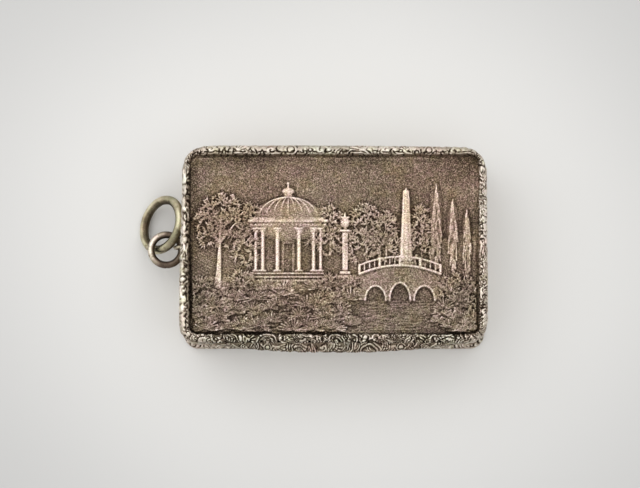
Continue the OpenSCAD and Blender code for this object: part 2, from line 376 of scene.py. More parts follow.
RR = RC + 0.45
ARC = RR * math.pi / 2
SEGS = [2 * AX, ARC, 2 * BY, ARC, 2 * AX, ARC, 2 * BY, ARC]
LOOP = sum(SEGS)
STARTS = np.concatenate([[0], np.cumsum(SEGS)])


def outline(s, d, half_l=0.0):
    """Points at distance d outside the wall, at station s round the box from the
    front left corner, anticlockwise seen from above."""
    s = np.asarray(s) % LOOP
    k = np.clip(np.searchsorted(STARTS, s, side="right") - 1, 0, 7)
    t = s - STARTS[k]
    x, y = np.zeros(np.broadcast(s, d).shape), np.zeros(np.broadcast(s, d).shape)
    k, t, d = np.broadcast_to(k, x.shape), np.broadcast_to(t, x.shape), np.broadcast_to(d, x.shape)
    straight = {0: (-AX, -HW, 1, 0, 0, -1), 2: (HL, -BY, 0, 1, 1, 0), 4: (AX, HW, -1, 0, 0, 1), 6: (-HL, BY, 0, -1, -1, 0)}
    for key, (x0, y0, tx, ty, nx, ny) in straight.items():
        m = k == key
        x[m] = x0 + t[m] * tx + d[m] * nx
        y[m] = y0 + t[m] * ty + d[m] * ny
    corner = {1: (AX, -BY, -90), 3: (AX, BY, 0), 5: (-AX, BY, 90), 7: (-AX, -BY, 180)}
    for key, (cx, cy, a0) in corner.items():
        m = k == key
        a = np.radians(a0) + t[m] / RR
        x[m] = cx + (RC + d[m]) * np.cos(a)
        y[m] = cy + (RC + d[m]) * np.sin(a)
    return x, y


def profile_points(ctrl, n):
    """n points evenly spaced along a rounded polyline in (distance out, height), with unit normals."""
    c = np.asarray(ctrl, float)
    for _ in range(3):
        q = [c[0]]
        for a, b in zip(c[:-1], c[1:]):
            q += [0.75 * a + 0.25 * b, 0.25 * a + 0.75 * b]
        c = np.array(q + [c[-1]])
    seg = np.hypot(*np.diff(c, axis=0).T)
    w = np.concatenate([[0], np.cumsum(seg)])
    ww = np.linspace(0, w[-1], n)
    p = np.stack([np.interp(ww, w, c[:, 0]), np.interp(ww, w, c[:, 1])], -1)
    t = np.gradient(p, axis=0)
    t /= np.linalg.norm(t, axis=1)[:, None]
    return p, np.stack([-t[:, 1], t[:, 0]], -1), ww


# ------------------------------------------------------------------ scroll ornament

def spiral(cx, cy, r0, r1, a0, a1, n=26, sx=1.0):
    a = np.radians(np.linspace(a0, a1, n))
    r = np.linspace(r0, r1, n)
    return list(zip(cx + sx * r * np.cos(a), cy + r * np.sin(a)))


def scroll_band(cv, units, wc, half, rng, fine=None):
    """Foliate scrolls along a band: each unit is (kind, start, length, side, way).
    Full rounded strokes stand up from the metal, and graver cuts part them.
    fine gives the strokes' share of their full width at a station."""
    for kind, s0, ln, side, way in units:
        thin = fine(s0) if fine else 1.0

        def P(u, v):
            return (s0 + (u if way > 0 else 1 - u) * ln, wc + side * v * half)

        def j(a=0.05):
            return float(rng.uniform(-a, a))

        def curve(pts, w0, w1, a=0.5, pol=0.9):
            cv.path([P(u, v) for u, v in pts], thin * w0, thin * w1, 0.5, 0.5, a, pol)

        def cut(pts, w0, w1, depth=1.0):
            cv.cut([P(u, v) for u, v in pts], thin * w0, thin * w1, depth)

        if kind == "scroll":
            hook = [(0.03, -0.85), (0.10, -0.30), (0.22, 0.25), (0.38, 0.62), (0.56, 0.74), (0.74, 0.62), (0.86, 0.28),
                    (0.84, -0.10), (0.70, -0.30), (0.57, -0.16), (0.58, 0.10)]
            curve([(u, v + j(0.04)) for u, v in hook], 0.25, 0.15)
            cv.boss(*P(0.68, 0.12), 0.19, 0.17, 0, 0.5, 0.5, 1.0)
            curve([(0.16, 0.05), (0.04, 0.55), (0.06, 1.0)], 0.2, 0.09, 0.4, 0.7)
            curve([(0.30, 0.50), (0.24, 0.92)], 0.16, 0.08, 0.36, 0.7)
            curve([(0.88, 0.15), (0.97, 0.62), (0.95, 0.98)], 0.18, 0.08, 0.4, 0.7)
            cut([(0.36, 0.22), (0.44, -0.22 + j()), (0.36, -0.75)], 0.17, 0.07)
            cut([(0.70, 0.40), (0.78, 0.12), (0.72, -0.08)], 0.085, 0.06, 0.85)
            cut([(0.62, -0.55), (0.84, -0.52), (0.97, -0.2)], 0.13, 0.05)
            cut([(0.12, 0.55), (0.17, 0.95)], 0.10, 0.05, 0.9)
            cut([(0.52, 0.98), (0.66, 1.02)], 0.10, 0.04, 0.9)
        elif kind == "oval":
            t = np.linspace(0, 2 * math.pi, 34)
            cut([(0.5 + 0.30 * math.cos(a), 0.02 + 0.70 * math.sin(a)) for a in t], 0.085, 0.085, 0.95)
            curve([(0.5 + 0.42 * math.cos(a), 0.02 + 0.96 * math.sin(a)) for a in t], 0.15, 0.15, 0.45)
            cv.boss(*P(0.5, 0.02), 0.25 * ln, 0.58 * half, 0, 0.5, 0.55, 1.0, 0.4)
            for m in (-1, 1):
                cut([(0.5 + m * 0.47, -0.55), (0.5 + m * 0.42, -0.98)], 0.15, 0.06)
                cut([(0.5 + m * 0.48, 0.5 + j()), (0.5 + m * 0.40, 0.98)], 0.12, 0.05)
        elif kind == "leaf":
            tips = [(0.10, 0.95), (0.36, 1.02), (0.64, 0.90), (0.86, 0.50), (0.98, -0.10), (0.80, -0.62)]
            for k, (u, v) in enumerate(tips):
                curve([(0.06, -0.75), (0.5 * u + 0.02, 0.42 * v - 0.30), (u + j(0.03), v)], 0.15, 0.2, 0.34 + 0.03 * k, 0.8)
                if k:
                    a, b = tips[k - 1], (u, v)
                    mu, mv = 0.5 * (a[0] + b[0]), 0.5 * (a[1] + b[1])
                    cut([(mu, mv), (0.55 * mu + 0.03, 0.55 * mv - 0.26)], 0.13, 0.045)
            cut([(0.42, -0.92), (0.60, -0.86)], 0.14, 0.07)
            cut([(0.12, -0.2), (0.02, 0.25)], 0.12, 0.05)
        elif kind == "shell":
            bx, by = P(0.5, -0.92)
            for i in range(9):
                a = math.radians(10 + 20 * i)
                r = 1.62 + 0.12 * (i % 2)
                cv.path([(bx, by), (bx + r * half * math.cos(a), by + side * r * half * math.sin(a))], 0.1, 0.21, 0.5, 0.5, 0.5, 0.85)
                if i < 8:
                    b = math.radians(20 + 20 * i)
                    cv.cut([(bx + 1.75 * half * math.cos(b), by + side * 1.75 * half * math.sin(b)),
                            (bx + 0.6 * half * math.cos(b), by + side * 0.6 * half * math.sin(b))], 0.12, 0.04)
            cv.boss(bx, by, 0.3, 0.26, 0, 0.5, 0.55, 1.0)
            for m in (1, -1):
                base = spiral(0.0, 0.0, 1.0, 0.35, -90, 240, 24)
                curve([(0.5 + m * (0.38 + 0.10 * x), -0.5 + 0.42 * y) for x, y in base], 0.15, 0.11)
                cut([(0.5 + m * 0.37, -0.5), (0.5 + m * 0.40, -0.42)], 0.12, 0.08)
        elif kind == "comma":
            n = max(2, int(round(ln / 0.5)))
            for i in range(n):
                sx = s0 + ln * (i + 0.5 + j(0.32)) / n
                lean, hook = j(0.38), j(0.3)
                w0_, w1_ = wc - half * rng.uniform(0.62, 1.0), wc + half * rng.uniform(-0.35, 0.45)
                wm = 0.5 * (w0_ + w1_) + j(0.1)
                tail = [(sx, w0_), (sx + 0.35 * lean, wm), (sx + lean + 0.4 * hook, 0.4 * wm + 0.6 * w1_), (sx + lean + hook, w1_)]
                if rng.random() < 0.5:
                    cv.cut(tail, 0.16 * rng.uniform(0.8, 1.25), 0.045, rng.uniform(0.75, 1.0))
                else:
                    cv.cut(tail, 0.05, 0.15 * rng.uniform(0.8, 1.25), rng.uniform(0.75, 1.0))
                if rng.random() < 0.45:
                    wo = wc + half * rng.uniform(0.5, 0.9)
                    cv.cut([(sx + 0.25, wo), (sx + 0.25 + j(0.25), wo + 0.28)], 0.1, 0.04, rng.uniform(0.6, 1.0))
                cv.path([(a + 0.2, b) for a, b in tail], 0.13, 0.07, 0.5, 0.5, 0.45, 0.9)
        elif kind == "arch":
            t = np.linspace(math.pi, 0, 30)
            for r, w in ((1.0, 0.17), (0.70, 0.13)):
                curve([(0.5 + 0.46 * r * math.cos(a), -0.85 + 1.75 * r * math.sin(a)) for a in t], w, w, 0.5)
            cut([(0.5 + 0.385 * math.cos(a), -0.85 + 1.48 * math.sin(a)) for a in t], 0.07, 0.07, 0.9)
            cut([(0.5 + 0.24 * math.cos(a), -0.9 + 0.95 * math.sin(a)) for a in t], 0.11, 0.11, 0.95)
            cv.boss(*P(0.5, -0.62), 0.13 * ln, 0.30 * half, 0, 0.5, 0.5, 1.0)
            for m in (1, -1):
                for i in range(3):
                    cut([(0.5 + m * (0.44 - 0.06 * i), 0.35 + 0.27 * i), (0.5 + m * 0.50, 0.62 + 0.2 * i)], 0.1, 0.05)


def unit_row(s0, s1, kinds, rng):
    """Fills a stretch with units of roughly equal length, jittered."""
    n = len(kinds)
    w = np.array([{"oval": 0.72, "leaf": 1.0, "shell": 0.9, "scroll": 1.12, "arch": 1.9, "comma": 1.15}[k] for k in kinds])
    w = w * rng.uniform(0.78, 1.22, n)
    edges = s0 + (s1 - s0) * np.concatenate([[0], np.cumsum(w) / w.sum()])
    return [(k, float(a) + 0.02, float(b - a) - 0.04, -1 if k == "arch" else (1 if rng.random() < 0.6 else -1), 1 if rng.random() < 0.5 else -1)
            for k, a, b in zip(kinds, edges[:-1], edges[1:])]


def all_units(rng, front):
    rows = []
    back = ["scroll", "comma", "oval", "comma", "leaf", "scroll", "comma", "leaf", "comma", "scroll", "comma", "oval", "scroll", "comma", "leaf", "comma", "scroll"]
    end = ["comma", "scroll", "oval", "comma", "leaf", "comma", "scroll", "comma", "leaf"]
    for k, kinds in ((0, front), (2, end), (4, back), (6, end[::-1])):
        rows += unit_row(STARTS[k] + 0.7, STARTS[k + 1] - 0.7, kinds, rng)
    for k in (1, 3, 5, 7):
        rows.append(("comma", STARTS[k] - 0.6, ARC + 1.2, 1, 1))
    return rows


def scallops(ss, pitch, seed):
    """An uneven row of rounded lobes along an edge, 1 on a lobe and 0 in a nick."""
    rng = np.random.default_rng(seed)
    n = int(round(LOOP / pitch))
    k = np.sort((np.arange(n) + rng.uniform(-0.28, 0.28, n)) * LOOP / n)
    k = np.concatenate([k, [k[0] + LOOP]])
    i = np.clip(np.searchsorted(k, ss, side="right") - 1, 0, n - 1)
    u = np.clip((ss - k[i]) / (k[i + 1] - k[i]), 0, 1)
    return np.sqrt(np.clip(1 - (2 * u - 1) ** 2, 0, 1)), k[:-1]


def hollows(cv, rng, w0, pitch):
    """Uneven lens-shaped hollows, gouged along the inner half of a moulding."""
    n = int(LOOP / pitch)
    for i in range(n):
        s = (i + rng.uniform(-0.4, 0.4)) * LOOP / n
        ln, tilt = rng.uniform(0.28, 0.6), rng.uniform(-1.1, 1.1)
        w = w0 + rng.uniform(-0.2, 0.28)
        wide = rng.uniform(0.13, 0.25)
        ds, dw = ln * math.cos(tilt), 0.8 * ln * math.sin(tilt)
        bend = rng.uniform(-0.2, 0.2)
        if s % LOOP < STARTS[1] and rng.random() < 0.6:
            continue
        deep = rng.uniform(0.8, 1.0)
        for m in (-1, 1):
            cv.cut([(s, w + bend), (s + 0.6 * m * ds, w + 0.6 * m * dw + 0.6 * bend), (s + m * ds, w + m * dw)], wide, 0.05, deep)


def curls(cv, rng, w_lo, w_hi, pitch, skip=()):
    """Small hooked leaves cut all over a moulding, each round its own bright bud."""
    n = int(LOOP / pitch)
    for i in range(n):
        s, w = (i + rng.uniform(-0.5, 0.5)) * LOOP / n, rng.uniform(w_lo, w_hi)
        r, a0 = rng.uniform(0.2, 0.42), rng.uniform(0, 2 * math.pi)
        sweep, squash = rng.uniform(2.6, 4.8), rng.uniform(0.75, 1.3)
        wide, deep = rng.uniform(0.07, 0.125), rng.uniform(0.65, 1.0)
        if any(a < s % LOOP < b and (w > top or rng.random() < share) for a, b, top, share in skip):
            continue
        t = a0 + np.linspace(0, sweep, 12)
        grow = np.linspace(0.85, 1.2, 12)
        cv.cut(list(zip(s + squash * r * grow * np.cos(t), w + r * grow * np.sin(t))), wide, 0.05, deep)
        cv.boss(s, w, 0.7 * r * squash, 0.7 * r, 0, 0.5, 0.45, 0.9)


def tracery(cv, rng, s0, s1, w0, w1, n):
    """Groups of fine parallel curls, as small punches leave them."""
    for _ in range(n):
        s, w = rng.uniform(s0, s1), rng.uniform(w0, w1)
        r, a0, sweep = rng.uniform(0.25, 1.15), rng.uniform(0, 2 * math.pi), rng.uniform(1.2, 3.0)
        squash, lines = rng.uniform(0.9, 1.8), int(rng.integers(2, 5))
        for i in range(lines):
            t = a0 + np.linspace(0, sweep * (1 - 0.12 * i), 10)
            q = r + 0.26 * i
            cv.path(list(zip(s + squash * q * np.cos(t), w + q * np.sin(t))), 0.1, 0.06, 0.5, 0.5, 0.5, 0.9)
            cv.cut(list(zip(s + squash * (q + 0.13) * np.cos(t), w + (q + 0.13) * np.sin(t))), 0.075, 0.045, rng.uniform(0.7, 1.0))


def swept_ornament(name, ctrl, ns, nw, wc, half, depth, units, seed, close, inner=None, gadroon=None, gouged=None, curled=None, outer=None, tooled=(), rounded=None, drawn=None, front_drop_and_shade=0.30, front_painted_shade=0.30):
    """A cast moulding: a profile carried round the outline, carved with scrolls."""
    rng = np.random.default_rng(seed)
    prof, nrm, ww = profile_points(ctrl, nw)
    ss = np.arange(ns) * (LOOP / ns)
    cv = Canvas(ss, ww, wrap=True)
    scroll_band(cv, units, wc, half, rng, lambda s: 0.62 if 0 <= s < STARTS[1] else (0.8 if STARTS[2] <= s < STARTS[3] else 1.0))
    if gouged:
        hollows(cv, rng, *gouged)
    if curled:
        curls(cv, rng, *curled, ((STARTS[4], STARTS[5], 1.75, 0.55), (STARTS[6], STARTS[7], 1.95, 0.35)))
    for stretch in tooled:
        tracery(cv, rng, *stretch)
    if gadroon:
        g0, g1, pitch = gadroon
        n = int(round(LOOP / pitch))
        for i in range(n):
            s = (i + 0.5) * LOOP / n
            cv.path([(s - 0.12, g0), (s, 0.5 * (g0 + g1)), (s + 0.1, g1)], pitch * 0.42, pitch * 0.3, 0.3, 0.3, 0.6, 0.6)
    if outer:
        rim, nicks = scallops(ss, outer[0], seed + 3)
        shoulder = ww[np.argmax(prof[:, 0] > 1.2)]
        for s in nicks:
            if rng.random() < (0.3 if STARTS[4] < s < STARTS[5] else 0.6):
                lean = rng.uniform(-0.25, 0.25)
                cv.cut([(s + lean, shoulder - rng.uniform(0.2, 0.75)), (s + 0.4 * lean, shoulder), (s, shoulder + 0.45)], 0.08, 0.15, 1.0)
    lobe = np.ones(ns)
    if inner:
        lobe, nicks = scallops(ss, inner[0], seed + 2)
        for s in nicks:
            cv.cut([(s, 0.1), (s + rng.uniform(-0.15, 0.15), inner[1] * rng.uniform(0.7, 1.15))], 0.13, 0.05, rng.uniform(0.6, 1.0))
    # hand work: nothing repeats exactly, and some stretches are rubbed flat
    du, dv = (1.5 * soft_noise(cv.H.shape, 9, seed + k, True) for k in (31, 32))
    uneven = 1 + 1.3 * (ss < STARTS[1])[:, None]
    hh, cc = warp(cv.H, uneven * du, 0.8 * dv), warp(cv.C, uneven * du, 0.8 * dv)
    rubbed = smooth(0.5 + 0.45 * soft_noise(hh.shape, 16, seed + 33, True))
    left = (smooth((ss - STARTS[6]) / 2) * smooth((STARTS[7] - ss) / 2))[:, None]
    # the cuts by the rings are rubbed soft
    cc = cc + 0.75 * left * (1.15 * blur(cc, 1.5, True) - cc)
    # the outer slope is worn smooth, so the cuts there are shallow; the front is less worn
    front = (smooth((ss - 0.2) / 1.5) * smooth((STARTS[1] - 0.2 - ss) / 1.5))[:, None] * np.ones_like(hh)
    rear = (smooth((ss - STARTS[4] + 1) / 2) * smooth((STARTS[5] + 1 - ss) / 2))[:, None]
    worn = np.interp(ww, [0, wc - 0.1, wc + 0.5 * half, ww[-1]], [0.0, 0.03, 0.4, 0.5])[None, :] * (1 - 0.8 * front) * (0.45 + 0.75 * rear)
    worn = np.clip(worn + 0.16 * rubbed * (1 - front), 0, 0.9)
    right = (smooth((ss - STARTS[2] + 0.5) / 1.5) * smooth((STARTS[3] + 0.5 - ss) / 1.5))[:, None]
    # the ground sits lower along the front and higher at the back and the ends; besides shaping the relief, this paints
    # shade along the front and light along the back, and lightens the ends
    ground = 0.76 - front_drop_and_shade * front + 0.08 * rear + 0.06 * left + 0.13 * right
    raised = ground + (1 - ground) * smooth(2 * (hh - 0.5)) * (1 - 0.5 * worn)
    rel = np.clip(blur(raised - 1.05 * cc * (1 - worn), 0.4, True), 0, 1.05)
    rough = soft_noise(rel.shape, 2.4, seed + 5, True) * 0.05 + soft_noise(rel.shape, 0.7, seed + 6, True) * 0.03
    env = depth * np.interp(ww, [0, 0.3, 0.6, wc + half, ww[-1] - 0.5, ww[-1]], [0.3, 0.75, 1, 1, 0.6, 0.1])[None, :]
    h = -env * np.clip(1.0 - rel + rough, 0.0, 1.25)
    d = prof[None, :, 0] + nrm[None, :, 0] * h
    z = prof[None, :, 1] + nrm[None, :, 1] * h
    if inner:
        d = d + inner[2] * (0.45 - lobe[:, None]) * smooth(1 - ww / 0.95)[None, :]
    if outer:
        # the rim swells and nicks with the leaves
        deep = smooth(0.6 + 0.5 * soft_noise((ns, 3), 14, seed + 4, True)[:, 1])
        for k in (1, 3, 5, 7):
            deep *= 1 - 0.5 * smooth((ss - STARTS[k] + 0.8) / 0.8) * smooth((STARTS[k + 1] + 0.8 - ss) / 0.8)
        d = d - outer[1] * ((1 - rim) * deep)[:, None] * smooth((prof[None, :, 0] - 0.75) / 0.5) * (1 - 0.6 * rear)
    if rounded:
        # rubbed corners, each by its own amount
        for k, amount in zip((1, 3, 5, 7), rounded):
            u = (ss - STARTS[k] - 0.5 * ARC) / (0.5 * ARC + 0.9)
            d = d - amount * (np.clip(1 - u * u, 0, 1) ** 1.5)[:, None] * smooth((prof[None, :, 0] - 0.05) / 1.0)
    if drawn:
        # the rim is drawn in a little, more in some places than in others
        at, amount = zip(*drawn)
        d = d - np.interp(ss, at, amount)[:, None] * smooth((prof[None, :, 0] - 0.05) / 1.0)
    x, y = outline(ss[:, None], d)
    top = np.stack([x, y, np.broadcast_to(z, x.shape)], -1)
    cav = rel - blur(rel, 2.4, True)
    wide = rel - blur(rel, 8, True)
    tone = 0.05 + 0.72 * rel + 0.34 * cav + 0.12 * wide
    tone += 0.05 * soft_noise(rel.shape, 6, seed + 9, True) + 0.03 * soft_noise(rel.shape, 1.0, seed + 10, True)
    # painted shade along the inner foot, least at the back and the right end
    foot = np.interp(ww, [0, 0.3, 0.7, ww[-1]], [0.24, 0.68, 1.0, 0.9])[None, :]
    foot = foot + (1 - foot) * (0.55 * rear + 0.6 * right + 0.25 * left * smooth((STARTS[6] + 13 - ss) / 5)[:, None])
    # painted shade over the front, which faces away from the light, sparing the crests
    tone *= (1 - front_painted_shade * front * (1 - 0.75 * smooth(3.5 * cav))) * foot
    # painted highlight on the outer half of the end by the rings, which faces the light, and painted shade on the inner
    # half of that end and, less, of the back; both ends get more contrast
    tone += 0.12 * left * smooth((rel - 0.66) / 0.2) * smooth((ww - 1.2) / 0.6)[None, :]
    tone -= (0.15 * left + 0.08 * rear) * smooth((1.75 - ww) / 0.9)[None, :]
    tone += (0.16 * left + 0.26 * right) * (tone - 0.48)
    # the plain back of the moulding closes it
    back = []
    for bd, bz in close:
        bx, by = outline(ss[:, None], np.array([[bd]]))
        back.append(np.stack([bx, by, np.full_like(bx, bz)], -1))
    pts = np.concatenate([top] + back, 1)
    tones = np.concatenate([np.clip(tone, 0, 1)] + [np.full((ns, len(close)), 0.15)], 1)
    n2 = pts.shape[1]
    return mesh_object(name, pts.reshape(-1, 3), grid_faces(ns, n2, True, True, flip=True), {"tone": tones})


# ------------------------------------------------------------------ lid border

rng_b = np.random.default_rng(11)
FRONT = ["leaf", "scroll", "comma", "oval", "leaf", "arch", "scroll", "comma", "leaf", "scroll", "arch", "comma", "oval", "scroll", "leaf", "comma", "arch", "scroll", "leaf", "comma"]
lid_ctrl = [(-0.20, 11.49), (-0.21, 11.92), (-0.08, 12.36), (0.26, 12.61), (0.74, 12.54), (1.18, 12.22),
            (1.345, 11.75), (1.345, 10.95), (1.22, 10.5), (0.75, 10.12), (0.02, 10.0)]
border = swept_ornament("lid_border_cast", lid_ctrl, 1500, 58, 1.62, 1.12, 0.34,
                        all_units(rng_b, FRONT), 21, [(0.0, 10.6), (-0.02, 11.49)], (1.05, 0.75, 0.2), (3.3, 4.5, 0.85), (1.18, 0.9), (0.95, 2.5, 0.74), (1.45, 0.17),
                        ((STARTS[0] + 0.3, STARTS[1] - 0.3, 0.7, 2.9, 52), (STARTS[2], STARTS[3], 0.7, 2.7, 30)), (0.30, 0.45, 0.35, 0.12),
                        ((STARTS[1] - 2, 0.0), (STARTS[2], 0.22), (STARTS[3], 0.28), (STARTS[4], 0.24), (STARTS[4] + 14, 0.06), (STARTS[5] - 3, 0.0), (STARTS[6], 0.4), (STARTS[6] + 7, 0.26), (STARTS[7] - 7, 0.0)), 0.36, 0.2)
border.data.materials.append(M_BORDER)
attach(border, "lid")
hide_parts("lid_border")

base_ctrl = [(0.02, 2.2), (0.34, 2.12), (0.74, 1.78), (0.96, 1.2), (0.96, 0.42), (0.72, 0.01), (0.35, 0.0), (0.0, 0.0)]
base = swept_ornament("base_border_cast", base_ctrl, 1400, 40, 1.25, 0.95, 0.24,
                      all_units(np.random.default_rng(12), FRONT), 41, [(-0.01, 0.6), (-0.01, 1.5)], front_drop_and_shade=0.08, front_painted_shade=0.1)
base.data.materials.append(M_BORDER)
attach(base, "box")
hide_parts("base_border")


# ------------------------------------------------------------------ thumbpiece

TH = 17.0
tx = np.linspace(-TH, TH, 720)
bow = 0.04 + 1.21 * (1 - np.abs(tx / TH) ** 2.5)
lobes, _ = scallops(tx + TH, 1.9, 57)
bow *= 1 - 0.14 * (1 - lobes)
thumb_ctrl = [(-0.30, 12.02), (-0.05, 12.02), (0.45, 11.93), (0.86, 11.72), (0.985, 11.45), (0.97, 11.1), (0.72, 10.86), (0.25, 10.78), (-0.12, 10.80)]
tp, tn, tw = profile_points(thumb_ctrl, 30)
tcv = Canvas(tx, tw)
trng = np.random.default_rng(5)
t_units, at_x = [], -16.4
for kind, ln in zip(["leaf", "scroll", "comma", "oval", "leaf", "arch", "scroll", "leaf", "scroll", "arch", "leaf", "oval", "comma", "scroll", "leaf"],
                    [1.9, 2.2, 2.0, 1.5, 2.0, 3.6, 2.1, 2.2, 2.1, 3.6, 2.0, 1.5, 2.0, 2.2, 1.9]):
    t_units.append((kind, at_x, ln, -1 if kind == "arch" else 1, 1 if at_x < 0 else -1))
    at_x += ln
scroll_band(tcv, t_units, 0.78, 0.62, trng, lambda s: 0.65)
tracery(tcv, trng, -16.4, 16.4, 0.25, 1.5, 30)
tdu, tdv = 2.2 * soft_noise(tcv.H.shape, 9, 53), 1.1 * soft_noise(tcv.H.shape, 9, 54)
thh, tcc = warp(tcv.H, tdu, tdv), warp(tcv.C, tdu, tdv)
trel = np.clip(blur(np.maximum(thh, 0.52) - tcc, 0.45), 0, 1.05)
th = -0.19 * np.clip(1 - trel + 0.04 * soft_noise(trel.shape, 2.0, 52), 0, 1.2) * smooth(bow / 0.5)[:, None]
to = np.where(tp[None, :, 0] > 0, tp[None, :, 0] * bow[:, None], tp[None, :, 0]) + tn[None, :, 0] * th
tz = tp[None, :, 1] + tn[None, :, 1] * th
tz = 11.4 + (tz - 11.4) * (0.55 + 0.45 * smooth(bow / 0.6))[:, None]
tpts = np.stack([np.broadcast_to(tx[:, None], to.shape), -14.4 - to, tz], -1)
tcav = trel - blur(trel, 2.2)
# painted shade: the thumbpiece faces away from the light and is dimmed all over, least on its crests
ttone = (0.10 + 0.58 * trel + 0.46 * tcav) * (0.64 + 0.22 * smooth(4 * tcav))
m = tpts.shape[1]
end_caps = [np.arange(m)[None, :], ((len(tx) - 1) * m + np.arange(m))[None, ::-1]]
thumb = mesh_object("thumbpiece_cast", tpts.reshape(-1, 3), [grid_faces(len(tx), m, False, True, flip=True)] + end_caps, {"tone": np.clip(ttone, 0, 1)})
thumb.data.materials.append(M_BORDER)
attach(thumb, "lid")
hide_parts("thumbpiece")


# ------------------------------------------------------------------ lid panel

PX, PY = 20.84, 12.99
NX, NY = 396, 248
px, py = np.linspace(-PX, PX, NX), np.linspace(-PY, PY, NY)
cv = Canvas(px, py)
GX, GY = np.meshgrid(px, py, indexing="ij")
rg = np.random.default_rng(7)


def tuft(cx, cy, r, n, a0=-15, a1=195, z=0.12, amp=0.28, pol=0.35, w=0.12, droop=0.0):
    """A fan of chased blades springing from one point."""
    for i in range(n):
        a = math.radians(a0 + (a1 - a0) * (i + rg.uniform(0.2, 0.8)) / n)
        ln = r * rg.uniform(0.7, 1.1)
        p0 = (cx + 0.12 * r * math.cos(a), cy + 0.12 * r * math.sin(a))
        p1 = (cx + 0.6 * ln * math.cos(a), cy + 0.6 * ln * math.sin(a))
        p2 = (cx + ln * math.cos(a), cy + ln * math.sin(a) - droop * ln)
        zz = z + rg.uniform(-0.03, 0.05)
        pp = pol * rg.uniform(0.6, 1.5)
        cv.stroke(p0, p1, w * 0.75, w, zz, zz + 0.06, amp * 0.8, pp)
        cv.stroke(p1, p2, w, w * 0.4, zz + 0.06, zz, amp, pp)


def crown(cx, cy, rx, ry, n, size, z=0.18, pol=0.22):
    """A mass of leaves: small fans packed over an ellipse, rounder towards the middle."""
    cv.boss(cx, cy, rx * 1.02, ry * 1.02, 0, 0.02, z * 0.8, 0.05, 0.6)
    for i in range(n):
        t = math.sqrt((i + 0.5) / n)
        a = i * 2.39996 + rg.uniform(-0.25, 0.25)
        x, y = cx + rx * t * math.cos(a), cy + ry * t * math.sin(a)
        lean = math.degrees(math.atan2(y - cy + 0.4 * ry, x - cx))
        tuft(x, y, size * rg.uniform(0.8, 1.2), 5, lean - 70, lean + 70, z + 0.2 * (1 - t * t), 0.24, pol, 0.11)
        if rg.random() < 0.6:
            g = rg.uniform(0, math.pi)
            cv.cut([(x - 0.22 * math.cos(g), y - 0.22 * math.sin(g)), (x, y), (x + 0.22 * math.cos(g), y + 0.22 * math.sin(g))], 0.14, 0.1, rg.uniform(0.5, 0.95))


def poplar(cx, y0, y1, w, pol=0.55):
    """A tall narrow tree of upright flames."""
    h = y1 - y0
    cv.boss(cx, y0 + 0.52 * h, w, 0.5 * h, 0, 0.05, 0.3, 0.1, 0.55)
    n = int(h * 7)
    for i in range(n):
        t = (i + 0.5) / n
        width = w * math.sin(math.pi * min(0.97, 0.10 + 0.88 * t) ** 0.8)
        x = cx + width * rg.uniform(-0.85, 0.85)
        y = y0 + h * t * 0.9
        ln = rg.uniform(0.7, 1.25)
        cv.stroke((x, y), (x + 0.16 * (cx - x) + rg.uniform(-0.08, 0.08), y + ln), 0.15, 0.07, 0.22, 0.3, 0.24, pol * rg.uniform(0.4, 1.4))
    cv.bar(cx - 0.17, cx + 0.17, y0 - 0.9, y0 + 0.6, 0.35, 0.12, 0.7, 0.4)


# far hills with slanting chasing
hill = 0.9 + 0.75 * np.sin(GX * 0.33 + 0.9) + 0.4 * np.sin(GX * 0.71 + 2.0)
hm = smooth((hill - GY) / 0.35) * smooth((GY + 7.0) / 0.6)
hatch = 0.5 + 0.5 * np.sin((GX * 0.75 + GY * 1.35) * 2 * math.pi / 0.62 + 1.5 * np.sin(GX * 0.9))
cv.H = np.maximum(cv.H, hm * (0.10 + 0.07 * hatch))
cv.T = np.maximum(cv.T, hm * 0.14 * hatch)

# stippled ground under everything
stip = np.random.default_rng(3).normal(size=(NX, NY))
stip2 = soft_noise((NX, NY), 1.6, 4)

# trees behind the buildings
for cx, cy, rx, ry, n in ((-1.2, 0.6, 2.4, 1.9, 26), (3.6, -0.2, 2.6, 2.0, 30), (7.6, -0.4, 2.0, 1.7, 20), (12.6, -0.6, 2.3, 2.0, 24),
                          (-12.6, -0.4, 1.9, 2.4, 24)):
    crown(cx, cy, rx, ry, n, 0.95)
# taller ones stand behind those
for cx, cy, rx, ry, n, foot in ((-12.0, 3.6, 1.5, 2.1, 22, -2.0), (-0.6, 3.6, 1.7, 1.8, 22, -1.5), (4.6, 3.4, 1.9, 2.3, 28, -2.5), (7.4, 2.6, 1.5, 1.9, 20, -2.5), (12.5, 3.0, 1.3, 2.2, 20, -2.5)):
    cv.path([(cx, foot), (cx + 0.1, 0.5 * (foot + cy)), (cx, cy)], 0.22, 0.13, 0.2, 0.2, 0.18, 0.55)
    crown(cx, cy, rx, ry, n, 0.9, 0.14, 0.21)
poplar(14.6, -3.6, 8.9, 0.95)
poplar(17.0, -3.8, 6.6, 0.85)
poplar(19.0, -4.2, 4.9, 0.75)

# round temple
TX, TY = -6.6, -4.1
for w, y0, z in ((6.2, -1.35, 0.34), (5.7, -0.85, 0.42), (5.25, -0.35, 0.5)):
    cv.bar(TX - w, TX + w, TY + y0, TY + y0 + 0.5, z, 0.16, 0.62)
cv.bar(TX - 4.6, TX + 4.6, TY + 0.1, TY + 6.7, 0.13, 0.2, 0.02)
for i in range(16):
    y = TY + 0.45 + 0.4 * i
    cv.stroke((TX - 4.4, y), (TX + 4.4, y), 0.07, 0.07, 0.10, 0.10, 0.08, 0.12)
cv.bar(TX - 0.95, TX + 0.95, TY + 0.1, TY + 4.6, 0.22, 0.14, 0.3)
cv.bar(TX - 0.62, TX + 0.62, TY + 0.1, TY + 4.2, 0.06, 0.1, 0.0)
cv.H = np.where((abs(GX - TX) < 0.62) & (GY > TY + 0.1) & (GY < TY + 4.25), 0.03, cv.H)
cv.T = np.where((abs(GX - TX) < 0.62) & (GY > TY + 0.1) & (GY < TY + 4.25), 0.0, cv.T)
